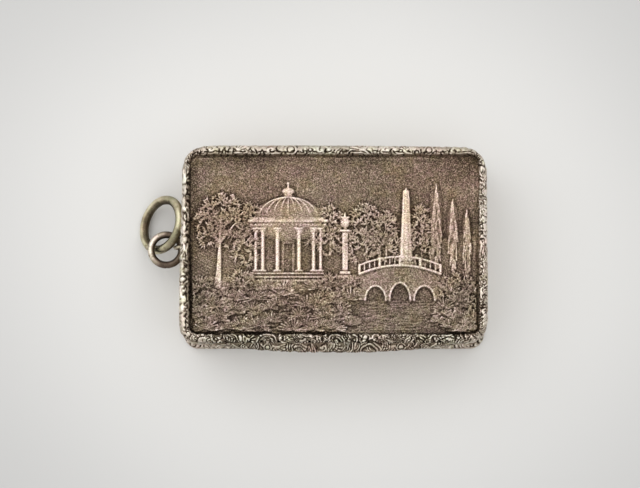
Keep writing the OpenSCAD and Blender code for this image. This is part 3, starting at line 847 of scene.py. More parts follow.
for ang in (-78, -50, -19, 19, 50, 78):
    x = TX + 4.75 * math.sin(math.radians(ang))
    hw = 0.46 - 0.12 * abs(ang) / 78
    zc = 0.72 - 0.14 * abs(ang) / 78
    cv.bar(x - hw, x + hw, TY + 0.1, TY + 6.3, zc, 0.14, 1.0, 0.55)
    cv.bar(x - hw - 0.22, x + hw + 0.22, TY + 0.1, TY + 0.5, zc + 0.05, 0.12, 0.9, 0.2)
    cv.bar(x - hw - 0.14, x + hw + 0.14, TY + 5.85, TY + 6.2, zc + 0.03, 0.1, 0.9, 0.2)
    cv.bar(x - hw - 0.26, x + hw + 0.26, TY + 6.15, TY + 6.6, zc + 0.06, 0.1, 1.0, 0.2)
cv.bar(TX - 5.6, TX + 5.6, TY + 6.55, TY + 7.2, 0.62, 0.14, 0.62, 0.1)
cv.bar(TX - 5.85, TX + 5.85, TY + 7.15, TY + 7.75, 0.74, 0.14, 0.85, 0.1)
for i in range(19):
    x = TX - 5.3 + 10.6 * i / 18
    cv.bar(x - 0.16, x + 0.16, TY + 6.75, TY + 7.1, 0.72, 0.08, 0.9)
DX, DY = TX, TY + 7.7
cv.boss(DX, DY, 5.0, 3.3, 0, 0.14, 0.52, 0.34, 0.45)
low = (GY < DY) & (abs(GX - DX) < 5.1) & (GY > DY - 3.4)
for i in range(9):
    a = -1 + 2 * (i + 0.5) / 9
    pts = [(DX + 4.8 * a * math.cos(t), DY + 0.1 + 3.1 * math.sin(t)) for t in np.linspace(0.05, 1.5, 12)]
    cv.path(pts, 0.13, 0.08, 0.48 - 0.25 * a * a, 0.62, 0.16, 0.8)
for i in range(5):
    cv.stroke((DX - 5.0, DY + 0.12), (DX + 5.0, DY + 0.12), 0.14, 0.14, 0.55, 0.55, 0.12, 0.7)
cv.bar(DX - 0.7, DX + 0.7, DY + 3.0, DY + 3.95, 0.5, 0.16, 0.8, 0.4)
cv.boss(DX, DY + 4.05, 0.95, 0.62, 0, 0.2, 0.4, 0.8)
cv.stroke((DX, DY + 4.4), (DX, DY + 5.3), 0.16, 0.09, 0.35, 0.3, 0.2, 1.0)
cv.boss(DX, DY + 5.2, 0.24, 0.24, 0, 0.3, 0.25, 1.0)

# urn on a fluted pillar
UX, UY = 1.55, -4.6
cv.bar(UX - 1.1, UX + 1.1, UY - 0.4, UY + 0.25, 0.5, 0.14, 0.6)
cv.bar(UX - 0.85, UX + 0.85, UY + 0.2, UY + 0.8, 0.58, 0.14, 0.75)
cv.bar(UX - 0.5, UX + 0.5, UY + 0.7, UY + 6.4, 0.6, 0.14, 0.9, 0.5)
for k in (-0.28, 0.0, 0.28):
    cv.stroke((UX + k, UY + 1.0), (UX + k, UY + 6.2), 0.09, 0.09, 0.5, 0.5, 0.22, 1.0)
cv.bar(UX - 0.75, UX + 0.75, UY + 6.3, UY + 6.75, 0.66, 0.1, 1.0)
cv.boss(UX, UY + 7.75, 0.72, 0.85, 0, 0.25, 0.45, 0.9)
cv.bar(UX - 0.3, UX + 0.3, UY + 6.7, UY + 7.1, 0.5, 0.1, 0.8)
cv.bar(UX - 0.7, UX + 0.7, UY + 8.35, UY + 8.62, 0.55, 0.08, 1.0)
cv.stroke((UX, UY + 8.5), (UX, UY + 9.25), 0.22, 0.08, 0.35, 0.3, 0.22, 0.9)

# obelisk
OX, OY = 10.3, -3.0
for sgn in (-1, 1):
    pts = [(OX + sgn * (0.62 - 0.30 * t), OY + 1.1 + 9.6 * t) for t in np.linspace(0, 1, 14)]
    cv.path(pts, 0.34, 0.16, 0.42, 0.32, 0.24, 1.0 if sgn < 0 else 0.55)
cv.path([(OX, OY + 1.0), (OX, OY + 10.6)], 0.52, 0.24, 0.40, 0.3, 0.28, 0.85)
cv.stroke((OX, OY + 10.4), (OX, OY + 11.3), 0.42, 0.05, 0.35, 0.3, 0.25, 1.0)
cv.bar(OX - 1.15, OX + 1.15, OY - 0.6, OY + 0.6, 0.5, 0.16, 0.6)
cv.bar(OX - 0.95, OX + 0.95, OY + 0.5, OY + 1.2, 0.6, 0.14, 0.85)

# footbridge with a balustrade
BX0, BX1 = 3.6, 15.2


def deck(x):
    u = (x - 0.5 * (BX0 + BX1)) / (0.5 * (BX1 - BX0))
    return -4.3 + 1.25 * (1 - u * u)


bx = np.linspace(BX0, BX1, 40)
face = (GX > BX0 - 0.1) & (GX < BX1 + 0.1) & (GY < deck(GX)) & (GY > -8.1)
cv.H = np.where(face, 0.34 + 0.05 * (np.sin(GY * 2 * math.pi / 0.62) > 0.75), cv.H)
cv.T = np.where(face, 0.22, cv.T)
for i in range(3):
    ax_, aw = 5.9 + 3.5 * i, 1.32
    ah = 2.3 if i == 1 else 1.9
    rho = ((GX - ax_) / aw) ** 2 + ((GY + 8.1) / ah) ** 2
    cv.H = np.where((rho < 1) & (GY > -8.1), 0.02, cv.H)
    cv.T = np.where((rho < 1) & (GY > -8.1), 0.0, cv.T)
    cv.path([(ax_ + 1.12 * aw * math.cos(t), -8.1 + 1.12 * ah * math.sin(t)) for t in np.linspace(0, math.pi, 24)], 0.17, 0.17, 0.36, 0.36, 0.16, 0.75)
    for t in np.linspace(0.25, math.pi - 0.25, 7):
        cv.stroke((ax_ + 1.2 * aw * math.cos(t), -8.1 + 1.2 * ah * math.sin(t)), (ax_ + 1.5 * aw * math.cos(t), -8.1 + 1.5 * ah * math.sin(t)), 0.1, 0.1, 0.34, 0.34, 0.1, 0.5)
cv.path([(x, deck(x)) for x in bx], 0.2, 0.2, 0.5, 0.5, 0.18, 0.8)
cv.path([(x, deck(x) + 1.25) for x in bx], 0.16, 0.16, 0.46, 0.46, 0.2, 0.95)
for i in range(17):
    x = BX0 + (BX1 - BX0) * i / 16
    w = 0.3 if i % 4 == 0 else 0.15
    cv.bar(x - w, x + w, deck(x), deck(x) + (1.55 if i % 4 == 0 else 1.2), 0.62 if i % 4 == 0 else 0.5, 0.09, 0.95, 0.4)

# stream under the bridge
for i in range(60):
    y = -8.2 - 0.085 * i + rg.uniform(-0.05, 0.05)
    if y < -12.4:
        break
    for _ in range(5):
        x = rg.uniform(3.6, 15.0) + (y + 8.2) * 0.35
        ln = rg.uniform(0.7, 2.0)
        cv.path([(x, y), (x + 0.5 * ln, y + 0.07), (x + ln, y)], 0.07, 0.04, 0.02, 0.02, 0.10, 0.30)

# broad tree at the left
for i in range(3):
    cv.path([(-16.9 + 0.25 * i, -6.2), (-16.6 + 0.12 * i, -3.0), (-16.4 + 0.02 * i, 0.5)], 0.3, 0.2, 0.34, 0.34, 0.2, 0.8)
for p, q in (((-16.4, 0.2), (-18.4, 3.2)), ((-16.4, 0.2), (-14.2, 3.0)), ((-16.4, 0.4), (-16.2, 4.6))):
    cv.stroke(p, q, 0.24, 0.12, 0.4, 0.4, 0.2, 0.75)
for cx, cy, rx, ry, n in ((-18.0, 3.2, 1.9, 1.6, 20), (-14.3, 3.0, 1.9, 1.6, 20), (-16.2, 5.3, 2.4, 1.9, 26), (-17.9, 0.9, 1.5, 1.1, 12), (-14.7, 0.8, 1.3, 1.1, 10)):
    crown(cx, cy, rx, ry, n, 1.0, 0.24, 0.21)

# bushes, rocks and ferns in the foreground
for cx, cy, rx, ry, n in ((-13.2, -5.6, 2.0, 1.5, 20), (-18.4, -6.6, 1.9, 1.6, 18), (2.4, -6.2, 1.5, 1.1, 12), (-0.8, -5.6, 1.2, 0.9, 9),
                          (17.2, -6.0, 2.6, 1.6, 26), (19.0, -8.6, 1.6, 1.6, 14)):
    crown(cx, cy, rx, ry, n, 0.95, 0.22, 0.22)
for cx, cy, rx, ry, tn in ((-16.6, -10.6, 1.5, 0.8, 0.1), (2.6, -11.0, 1.5, 0.8, 0.0), (17.4, -11.2, 1.5, 0.7, -0.1), (-7.6, -8.4, 1.0, 0.55, 0.15)):
    cv.boss(cx, cy, rx, ry, tn, 0.16, 0.36, 0.16, 0.45)
    for k in range(3):
        u = -0.45 + 0.4 * k
        cv.cut([(cx + u * rx, cy + 0.55 * ry), (cx + (u + 0.12) * rx, cy), (cx + (u + 0.05) * rx, cy - 0.6 * ry)], 0.09, 0.05, 0.7)


def fan(cx, cy, r, z, lean):
    """Fern fronds springing from one root, over a dark hollow."""
    cv.boss(cx, cy + 0.38 * r, 0.95 * r, 0.68 * r, 0, z - 0.06, 0.14, 0.0, 0.6)
    n = int(8 + 3.2 * r)
    for i in range(n):
        a = math.radians(lean + 6 + 168 * (i + rg.uniform(0.35, 0.65)) / n)
        ln = r * rg.uniform(0.82, 1.12) * (0.82 + 0.2 * math.sin(a))
        bend = 0.2 * math.cos(a) * ln
        pts = [(cx + t * ln * math.cos(a) + bend * t * t, cy + t * ln * math.sin(a) - 0.22 * t * t * ln * abs(math.cos(a))) for t in (0.16, 0.45, 0.72, 1.0)]
        bright = rg.uniform(0.25, 1.0) ** 1.4
        cv.path(pts, 0.07, 0.115, z, z + 0.09, 0.22, bright)
        if i:
            g = math.radians(lean + 6 + 168 * i / n)
            cv.cut([(cx + t * r * math.cos(g), cy + t * r * math.sin(g) - 0.1 * t * t * r * abs(math.cos(g))) for t in (0.2, 0.5, 0.8)], 0.05, 0.07, 0.55)
    cv.cut([(cx - 0.4 * r, cy - 0.12), (cx, cy + 0.08 * r), (cx + 0.4 * r, cy - 0.12)], 0.22, 0.16, rg.uniform(0.75, 1.0))


for row in range(7):
    y = -6.5 - 1.0 * row
    x = -20.0 + rg.uniform(0, 2.0)
    while x < 20.2:
        yy = y + rg.uniform(-0.4, 0.4)
        stream = 3.2 + (yy + 8.2) * 0.35 < x < 15.4 + (yy + 8.2) * 0.3
        walk = abs(x + 5.2 - 0.35 * (yy + 6)) < 1.6
        if not stream and not walk:
            fan(x, yy, rg.uniform(1.1, 2.1), 0.10 + 0.028 * row, rg.uniform(-20, 20))
        x += rg.uniform(2.0, 3.3)
# path to the temple
for i in range(46):
    y = -5.8 - 0.145 * i
    xc = -5.2 + 0.35 * (y + 6)
    hw_ = 1.25 + 0.06 * i
    x = xc + rg.uniform(-0.6, 0.6) * hw_
    ln = rg.uniform(0.6, 1.2)
    cv.stroke((x - 0.5 * ln, y), (x + 0.5 * ln, y + 0.04), 0.12, 0.07, 0.08, 0.08, 0.12, 0.5)
# grass along the far bank and between the buildings
for i in range(120):
    x = rg.uniform(-19.6, 19.6)
    y = rg.uniform(-6.6, -4.9)
    if abs(x - TX) < 6.2 and y > -5.6:
        continue
    if BX0 - 0.2 < x < BX1 + 0.2:
        continue
    tuft(x, y, rg.uniform(0.6, 1.0), 6, 20, 160, 0.1, 0.24, 0.28, 0.11)

# the picture fades into a plain margin, with a faint fillet under the border
qx, qy = np.abs(GX) - (20.7 - 1.1), np.abs(GY) - (12.85 - 1.1)
dist = -(np.hypot(np.maximum(qx, 0), np.maximum(qy, 0)) + np.minimum(np.maximum(qx, qy), 0) - 1.1)
fade = smooth((dist - np.where(GY < -11.6, 0.04, 0.2)) / 0.3)
H = blur(cv.H, 0.4) * fade
T = blur(cv.T, 0.4) * fade
ground = np.clip(1 - H / 0.16, 0, 1) * smooth((dist - 0.1) / 0.2)
worn = 0.55 + 0.45 * np.sin(GX * 0.43 + 0.6) * np.sin(GX * 0.171 + 1.0)
side = np.where((GY > 11.2) | (GX > 19.4), worn, 0.12)
lip = np.exp(-((dist - np.where(GX > 19.4, 0.72, 0.42)) / 0.11) ** 2) * np.clip(side, 0, 1) * (0.75 + 0.35 * stip2)
pits = blur(cv.C, 0.4) * fade
groove_and_shadow = blur(np.where(GX > 19.2, 0.2, np.where(GY > 11.5, 0.35, np.where(GX < -19.2, 0.55 + 0.7 * smooth((3 - GY) / 6), 1.0))), 4)
H += 0.07 * lip - 0.10 * groove_and_shadow * smooth((0.2 - dist) / 0.2) - 0.15 * pits
H += (0.038 * np.clip(stip, -2, 2) + 0.012 * stip2) * (0.4 + 0.6 * ground)
cav = H - blur(H, 2.2)
wide = H - blur(H, 8)
tone = 0.276 + 1.5 * np.clip(cav, -0.2, 0.2) + 0.22 * np.clip(wide, -0.4, 0.4) * smooth(dist / 1.2) + (0.40 + 0.15 * smooth((-5.8 - GY) / 1.0)) * T + 0.036 * stip - 0.33 * pits
tone += 0.035 * soft_noise((NX, NY), 12, 8) + 0.02 * soft_noise((NX, NY), 30, 18)
# painted shadow of the border along the groove, deepest at the left end and weakest at the right
tone += 0.10 * lip - 0.16 * groove_and_shadow * smooth((np.where(GY < -11.6, 0.14, 0.2) - dist) / 0.2)
# painted shadow of the border along the panel's edges, most at the left end; darker in the top left corner and across
# the foreground
tone -= 0.08 * smooth((2.6 - (GX + 20.7)) / 2.6) + 0.07 * smooth((1.5 - (GX + 20.7)) / 1.2) + 0.06 * smooth((3.6 - (20.7 - GX)) / 3.6) + 0.05 * smooth((2.2 - (12.85 - GY)) / 2.2)
tone -= 0.06 * np.exp(-(((GX + 20.2) / 4.5) ** 2 + ((GY - 12.4) / 3.5) ** 2))
tone *= 1 - 0.23 * smooth((-5.6 - GY) / 2.5)
tone = np.clip(tone, 0.0, 1.0)
Z = 11.5 + np.clip(H, -0.2, 0.95)
top = np.stack([GX, GY, Z], -1).reshape(-1, 3)
faces = [grid_faces(NX, NY)]
# edge and back of the sheet
ring = np.concatenate([np.arange(NX) * NY, (NX - 1) * NY + np.arange(1, NY), np.arange(NX - 2, -1, -1) * NY + NY - 1, np.arange(NY - 2, 0, -1)])
low = top[ring].copy()
low[:, 2] = 11.0
nring = len(ring)
verts = np.concatenate([top, low, [[0, 0, 11.0]]])
i = np.arange(nring)
base_i = len(top)
faces.append(np.stack([ring[i], base_i + i, base_i + (i + 1) % nring, ring[(i + 1) % nring]], -1))
faces.append(np.stack([base_i + i, np.full(nring, len(verts) - 1), base_i + (i + 1) % nring], -1))
tones = np.concatenate([tone.ravel(), np.full(nring + 1, 0.2)])
panel = mesh_object("lid_panel_relief", verts, faces, {"tone": tones})
panel.data.materials.append(M_PANEL)
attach(panel, "lid")
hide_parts("lid_panel")


# ------------------------------------------------------------------ rings

def wire_ring(name, centre, normal, start, R, r, seed, seam, base=0.66, dark=0.3, lit=None, shade=None, flat=0.0, nu=220, nv=28):
    """A ring of drawn wire, a little out of round, with a soldered seam and wear, and painted light and shade on its
    flanks.
    """
    c, n = np.array(centre, float), np.array(normal, float)
    n /= np.linalg.norm(n)
    a = np.array(start, float)
    a = a - n * (a @ n)
    a /= np.linalg.norm(a)
    b = np.cross(n, a)
    u = np.arange(nu) * 2 * math.pi / nu
    v = np.arange(nv) * 2 * math.pi / nv
    U, V = np.meshgrid(u, v, indexing="ij")
    rough = soft_noise((nu, nv), 3.0, seed, True)
    du = np.angle(np.exp(1j * (U - seam)))
    # a lapped seam: two filed ends with a fine line between them
    line = np.exp(-((du - 0.35 * np.cos(V)) / 0.02) ** 2)
    rad = r * (1 - 0.008 - 0.012 * np.abs(rough) - 0.09 * line - flat * np.clip(np.cos(2 * V), 0, 1) ** 2)
    e = np.cos(U)[..., None] * a + np.sin(U)[..., None] * b
    p = c + e * (R + rad * np.cos(V))[..., None] + n * (rad * np.sin(V))[..., None]
    up = np.cos(V) * e[..., 2] + np.sin(V) * n[2]
    # painted shade on the inner flank of the wire, which the light does not reach
    inner = smooth((-np.cos(V) - 0.02) / 0.65)
    rubs = np.clip(soft_noise((nu, nv), 1.6, seed + 2, True) - 1.1, 0, 1)
    tone = base - dark * inner - 0.45 * line + 0.07 * rough + 0.05 * soft_noise((nu, nv), 8, seed + 1, True) - 0.25 * rubs
    # painted highlight along the upward face of the wire and painted shade under it
    tone += 0.10 * smooth((up - 0.55) / 0.4) - 0.12 * smooth((0.25 - up) / 0.6)
    # painted light on the side of the ring towards the lamp, and painted shade on the outer flank of part of the ring
    if lit is not None:
        tone *= 1 - lit[1] + lit[1] * smooth(lit[2] + 1.0 * np.cos(U - lit[0])) * smooth(0.75 + np.cos(V))
    if shade is not None:
        tone *= 1 - shade[1] * smooth(1.6 * np.cos(U - shade[0]) - 0.4) * smooth(np.cos(V) + 0.3)
    return mesh_object(name, p.reshape(-1, 3), grid_faces(nu, nv, True, True), {"tone": np.clip(tone, 0, 1)})


RING_STOPS = [(0.0, (0.04, 0.033, 0.02)), (0.3, (0.15, 0.125, 0.085)), (0.55, (0.41, 0.37, 0.255)), (0.78, (0.67, 0.63, 0.465)), (1.0, (0.88, 0.85, 0.70))]
M_RING = relief_silver("wire_silver", RING_STOPS, (0.45, 0.26), SILVER_HUES, 77.0, 0.000015)
JUMP_STOPS = [(0.0, (0.04, 0.03, 0.024)), (0.3, (0.16, 0.12, 0.095)), (0.55, (0.42, 0.35, 0.29)), (0.78, (0.72, 0.63, 0.56)), (1.0, (0.95, 0.88, 0.82))]
M_JUMP = relief_silver("jump_silver", JUMP_STOPS, (0.45, 0.22), SILVER_HUES, 55.0, 0.000015)

tilt, turn = math.radians(45.7), math.radians(77.6)
axis_a = np.array([math.cos(turn), math.sin(turn), 0.0])
axis_h = np.array([math.sin(turn), -math.cos(turn), 0.0])
axis_u = axis_h * math.cos(tilt) + np.array([0, 0, math.sin(tilt)])
hang = wire_ring("suspension_ring_wire", (-24.99, 3.86, 3.41), np.cross(axis_a, axis_u), axis_a, 3.74, 0.66, 61, 3.6, 0.80, 0.52, (1.3 * math.pi, 0.3, 0.6), (0.85 * math.pi, 0.4))
hang.data.materials.append(M_RING)
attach(hang, "suspension_ring")
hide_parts("suspension_ring")
jump = wire_ring("jump_ring_wire", (-24.3, 0.07, 4.5), (0, 0, 1), (1, 0, 0), 2.2, 0.52, 62, 4.4, 0.66, 0.42, (0.92 * math.pi, 0.70, 0.06))
jump.data.materials.append(M_JUMP)
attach(jump, "jump_ring")
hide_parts("jump_ring")


# ------------------------------------------------------------------ engine-turned sides

NS, NZ = 1480, 40
Z0, Z1 = 2.05, 7.62
ss = np.arange(NS) * (LOOP / NS)
zz = np.linspace(Z0, Z1, NZ)
S, ZZ = np.meshgrid(ss, zz, indexing="ij")
# distance in from the frame of each of the four panels
inside = np.full(S.shape, -1.0)
for k in (0, 2, 4, 6):
    along = np.minimum(S - STARTS[k] - 0.25, STARTS[k + 1] - 0.25 - S)
    inside = np.maximum(inside, np.minimum(along, np.minimum(ZZ - Z0 - 0.55, Z1 - 0.4 - ZZ)))
# bare round field that carries the ring staple
mid = 0.5 * (STARTS[6] + STARTS[7])
pad = np.hypot(S - (mid + (0.0 - 0.42)), ZZ - 4.5) - 1.75
inside = np.minimum(inside, pad)
cut_in = smooth((inside - 0.28) / 0.12)
phase = S / 0.62 + 0.42 * np.sin(2 * math.pi * (ZZ - Z0) / 1.05) + 0.12 * np.sin(2 * math.pi * S / 5.2)
wave = 0.5 + 0.5 * np.cos(2 * math.pi * phase)
bead = np.exp(-((inside - 0.12) / 0.085) ** 2)
relief = 0.045 * np.maximum(cut_in * wave ** 0.8, 0) + 0.055 * bead + 0.018 * (inside < 0.02)
relief += 0.004 * soft_noise(S.shape, 2.0, 71, True)
tone = 0.30 + 0.42 * cut_in * wave + 0.42 * bead + 0.30 * (1 - cut_in) * (1 - bead)
tone += 0.05 * soft_noise(S.shape, 9, 72, True) + 0.05 * soft_noise(S.shape, 30, 73, True) - 0.26 * smooth((Z0 + 0.8 - ZZ) / 0.7) - 0.14 * smooth((ZZ - Z1 + 0.35) / 0.35)
x, y = outline(S, 0.012 + np.clip(relief, 0, 0.1))
skin = np.stack([x, y, ZZ], -1)
back = []
for bd, bz in ((-0.12, Z1), (-0.12, Z0)):
    bx, by = outline(ss[:, None], np.array([[bd]]))
    back.append(np.stack([bx, by, np.full_like(bx, bz)], -1))
pts = np.concatenate([skin] + back, 1)
tones = np.concatenate([np.clip(tone, 0, 1), np.full((NS, 2), 0.2)], 1)
sides = mesh_object("wall_engine_turning", pts.reshape(-1, 3), grid_faces(NS, NZ + 2, True, True), {"tone": tones})
M_TURNED = relief_silver("turned_silver", SILVER_STOPS, (0.36, 0.17), SILVER_HUES, 12.0, 0.000012)
sides.data.materials.append(M_TURNED)
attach(sides, "box")


# ------------------------------------------------------------------ underside

UN, UM = 330, 208
ux, uy = np.linspace(-1, 1, UN), np.linspace(-1, 1, UM)
UX, UY = np.meshgrid(ux * (HL - 0.01), uy * (HW - 0.01), indexing="ij")
# round the four corners
qx, qy = np.clip((np.abs(UX) - AX) / (RC - 0.01), 0, 1), np.clip((np.abs(UY) - BY) / (RC - 0.01), 0, 1)
UXr = np.where((qx > 0) & (qy > 0), np.sign(UX) * (AX + (RC - 0.01) * qx * np.sqrt(1 - 0.5 * qy ** 2)), UX)
UYr = np.where((qx > 0) & (qy > 0), np.sign(UY) * (BY + (RC - 0.01) * qy * np.sqrt(1 - 0.5 * qx ** 2)), UY)
UX, UY = UXr, UYr
edge = np.minimum(HL - np.abs(UX), HW - np.abs(UY))
ucv = Canvas(ux * HL, uy * HW)
# a vacant oval in a frame of leaf scrolls
CA, CB = 6.2, 3.7
rho = np.hypot(UX / CA, UY / CB)
frame_d = (rho - 1) * np.minimum(CA, CB) * 1.15
for i in range(22):
    a = 2 * math.pi * i / 22
    cx, cy = (CA + 0.75) * math.cos(a), (CB + 0.75) * math.sin(a)
    for k in (-1, 0, 1):
        b = a + 0.55 * k
        ucv.stroke((cx, cy), (cx + 0.95 * math.cos(b), cy + 0.95 * math.sin(b)), 0.2, 0.09, 0.3, 0.3, 0.6, 0.8)
ellipse = [(CA * 1.03 * math.cos(t), CB * 1.05 * math.sin(t)) for t in np.linspace(0, 2 * math.pi, 90)]
ucv.path(ellipse, 0.17, 0.17, 0.3, 0.3, 0.7, 0.9)
th = np.arctan2(UY * 1.5, UX)
turn_r = np.hypot(UX, UY * 1.5)
turned = 0.5 + 0.5 * np.cos(2 * math.pi * (turn_r / 0.78 + 0.32 * np.sin(28 * th)))
field = smooth((frame_d - 1.9) / 0.25) * smooth((edge - 1.15) / 0.2)
bead = np.exp(-((edge - 0.95) / 0.1) ** 2)
urel = np.clip(np.maximum(np.maximum(0.95 * field * turned, blur(ucv.H, 0.5)), bead), 0, 1)
plain = (1 - field) * (1 - np.clip(blur(ucv.H, 0.5), 0, 1)) * (1 - bead)
urel = np.maximum(urel, 0.75 * plain)
UZ = 0.065 * (1 - urel) + 0.003 * np.abs(soft_noise((UN, UM), 1.2, 81))
UZ = np.where(edge < 0.03, np.maximum(UZ, 0.02), UZ)
utone = 0.26 + 0.46 * urel + 0.16 * plain + 0.05 * soft_noise((UN, UM), 10, 82)
utone -= 0.25 * smooth((0.35 - edge) / 0.35)
wear = soft_noise((UN, UM), 5, 83)
utone += 0.05 * np.clip(wear, 0, 2) * plain
utop = np.stack([UX, UY, UZ], -1).reshape(-1, 3)
uring = np.concatenate([np.arange(UN) * UM, (UN - 1) * UM + np.arange(1, UM), np.arange(UN - 2, -1, -1) * UM + UM - 1, np.arange(UM - 2, 0, -1)])
up = utop[uring].copy()
up[:, 2] = 0.6
nr = len(uring)
verts = np.concatenate([utop, up, [[0, 0, 0.6]]])
i = np.arange(nr)
b0 = len(utop)
faces = [grid_faces(UN, UM, flip=True), np.stack([uring[i], uring[(i + 1) % nr], b0 + (i + 1) % nr, b0 + i], -1),
         np.stack([b0 + i, b0 + (i + 1) % nr, np.full(nr, len(verts) - 1)], -1)]
bottom = mesh_object("box_bottom_turned", verts, faces, {"tone": np.concatenate([np.clip(utone, 0, 1).ravel(), np.full(nr + 1, 0.4)])})
bottom.data.materials.append(M_TURNED)
bottom.data.materials.append(M_GILT)
mi = np.zeros(len(bottom.data.polygons), np.int32)
mi[-nr:] = 1
bottom.data.polygons.foreach_set("material_index", mi)
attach(bottom, "box")
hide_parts("box_bottom")


# ------------------------------------------------------------------ sponge

mat, nt, bsdf = new_material("sponge_fibre")
co = node(nt, "ShaderNodeTexCoord").outputs["Object"]
at = node(nt, "ShaderNodeAttribute", attribute_name="tone").outputs["Fac"]
f = math_node(nt, "ADD", at, map_range(nt, noise(nt, co, 1500, 4, 0.7), 0.3, 0.7, -0.14, 0.14))
nt.links.new(ramp(nt, [(0.0, (0.07, 0.035, 0.012)), (0.35, (0.27, 0.15, 0.055)), (0.65, (0.52, 0.34, 0.15)), (1.0, (0.72, 0.54, 0.29))], f), bsdf.inputs["Base Color"])
bsdf.inputs["Roughness"].default_value = 0.92
bsdf.inputs["Sheen Weight"].default_value = 0.25
bump(nt, bsdf, noise(nt, co, 5200, 5, 0.72), 0.00009)
M_SPONGE = mat

KN, KM, KZ = 300, 176, 20
PL, PW, PB, PT = 18.6, 10.75, 0.66, 6.1
gx, gy = np.meshgrid(np.linspace(-1, 1, KN), np.linspace(-1, 1, KM), indexing="ij")
# rounded outline, sides pulled in a little between the corners
k = 1 - 0.035 * (1 - gy ** 2) * np.abs(gx) ** 6
m = 1 - 0.05 * (1 - gx ** 2) * np.abs(gy) ** 6
round_ = 1 - 0.055 * (gx ** 8) * (gy ** 8)
kx, ky = gx * PL * k * round_, gy * PW * m * round_
fall = np.maximum(np.abs(gx) ** 14, np.abs(gy) ** 10)
lumps = np.clip(soft_noise((KN, KM), 14, 91), -1.6, 1.6)
kz = PT - 0.42 - 0.5 * (gx ** 2 + gy ** 2) * 0.5 - 0.9 * fall + 0.15 * lumps
ktop = np.stack([kx, ky, kz], -1).reshape(-1, 3)
kring = np.concatenate([np.arange(KN) * KM, (KN - 1) * KM + np.arange(1, KM), np.arange(KN - 2, -1, -1) * KM + KM - 1, np.arange(KM - 2, 0, -1)])
nk = len(kring)
rim = ktop[kring]
rows = []
for r in range(1, KZ):
    t = r / (KZ - 1)
    q = rim.copy()
    q[:, :2] *= (1 + 0.012 * math.sin(math.pi * t) - 0.03 * t ** 6)
    q[:, 2] = rim[:, 2] * (1 - t) + PB * t
    rows.append(q)
kv = np.concatenate([ktop] + rows)
kn = np.concatenate([np.tile([0.0, 0.0, 1.0], (len(ktop), 1)), np.tile(np.concatenate([rim[:, :2] / np.linalg.norm(rim[:, :2], axis=1)[:, None], np.zeros((nk, 1))], 1), (KZ - 1, 1))])
prng = np.random.default_rng(92)
tree = KDTree(len(kv))
for i, v in enumerate(kv.tolist()):
    tree.insert(v, i)
tree.balance()
pit = np.zeros(len(kv))
# open pores: many fine ones, fewer wide ones, over the top and the sides
for count, lo, hi in ((5200, 0.15, 0.30), (900, 0.28, 0.5), (60, 0.5, 0.85)):
    for i, c in zip(range(count), prng.integers(0, len(kv), count)):
        centre = kv[c] + prng.normal(size=3) * 0.08
        r = prng.uniform(lo, hi)
        for _, idx, dd in tree.find_range(centre.tolist(), r):
            pit[idx] = max(pit[idx], math.sqrt(max(0.0, 1 - (dd / r) ** 2)) * min(r * 1.25, 0.62))
fuzz = np.abs(prng.normal(size=len(kv))) * 0.035
kv = kv - kn * (1.1 * pit + 0.04 + fuzz)[:, None]
# painted shade: the pores and the sunken fibres are coloured darker the deeper they sink
ktone = np.clip(0.90 - 1.9 * pit - 1.2 * fuzz + 0.06 * prng.normal(size=len(kv)), 0, 1)
verts = np.concatenate([kv, [[0, 0, PB]]])
i = np.arange(nk)
faces = [grid_faces(KN, KM)]
prev = kring
for r in range(KZ - 1):
    cur = len(ktop) + r * nk + i
    faces.append(np.stack([prev[i], cur, len(ktop) + r * nk + (i + 1) % nk, prev[(i + 1) % nk]], -1))
    prev = cur
faces.append(np.stack([prev, np.full(nk, len(verts) - 1), prev[(i + 1) % nk]], -1))
sponge = mesh_object("scent_sponge", verts, faces, {"tone": np.append(ktone, 0.5)})
sponge.data.materials.append(M_SPONGE)
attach(sponge, "box")
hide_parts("sponge")


# ------------------------------------------------------------------ chased lines on the grille

GILT_STOPS = [(0.0, (0.16, 0.085, 0.025)), (0.35, (0.48, 0.29, 0.10)), (0.7, (0.85, 0.61, 0.28)), (1.0, (1.0, 0.80, 0.46))]
GILT_HUES = [(0.3, (1.0, 0.95, 0.90)), (0.5, (1.0, 1.0, 1.0)), (0.7, (0.98, 0.99, 0.92))]
M_CHASED = relief_silver("gilt_chased", GILT_STOPS, (0.45, 0.2), GILT_HUES, 5.0, 0.000012)
GRILLE_TOP, GRILLE_Y = 7.95, -0.35
rib_v, rib_f, rib_t = [], [], []


def rib(points, r, closed=False, sides=8):
    """A raised half-round line along a path on the grille's face."""
    p = np.asarray(points, float)
    n = len(p)
    if closed:
        t = np.roll(p, -1, 0) - np.roll(p, 1, 0)
    else:
        t = np.gradient(p, axis=0)
    t /= np.linalg.norm(t, axis=1)[:, None] + 1e-9
    nn = np.stack([-t[:, 1], t[:, 0]], -1)
    a = np.arange(sides) * 2 * math.pi / sides + math.pi / sides
    rr = np.full(n, r)
    if not closed:
        rr = r * np.clip(np.minimum(np.arange(n), np.arange(n)[::-1]) / 2.0 + 0.35, 0, 1)
    x = p[:, None, 0] + nn[:, None, 0] * np.cos(a)[None] * rr[:, None]
    y = p[:, None, 1] + nn[:, None, 1] * np.cos(a)[None] * rr[:, None]
    z = GRILLE_TOP + 0.8 * np.sin(a)[None] * rr[:, None]
    base = sum(len(v) for v in rib_v)
    rib_v.append(np.stack([x, y + GRILLE_Y, z], -1).reshape(-1, 3))
    rib_t.append(np.broadcast_to(0.55 + 0.45 * np.sin(a)[None], (n, sides)).ravel())
    rib_f.append(grid_faces(n, sides, closed, True, base, True))
    if not closed:
        rib_f.append((base + np.arange(sides))[None, :])
        rib_f.append((base + (n - 1) * sides + np.arange(sides))[None, ::-1])


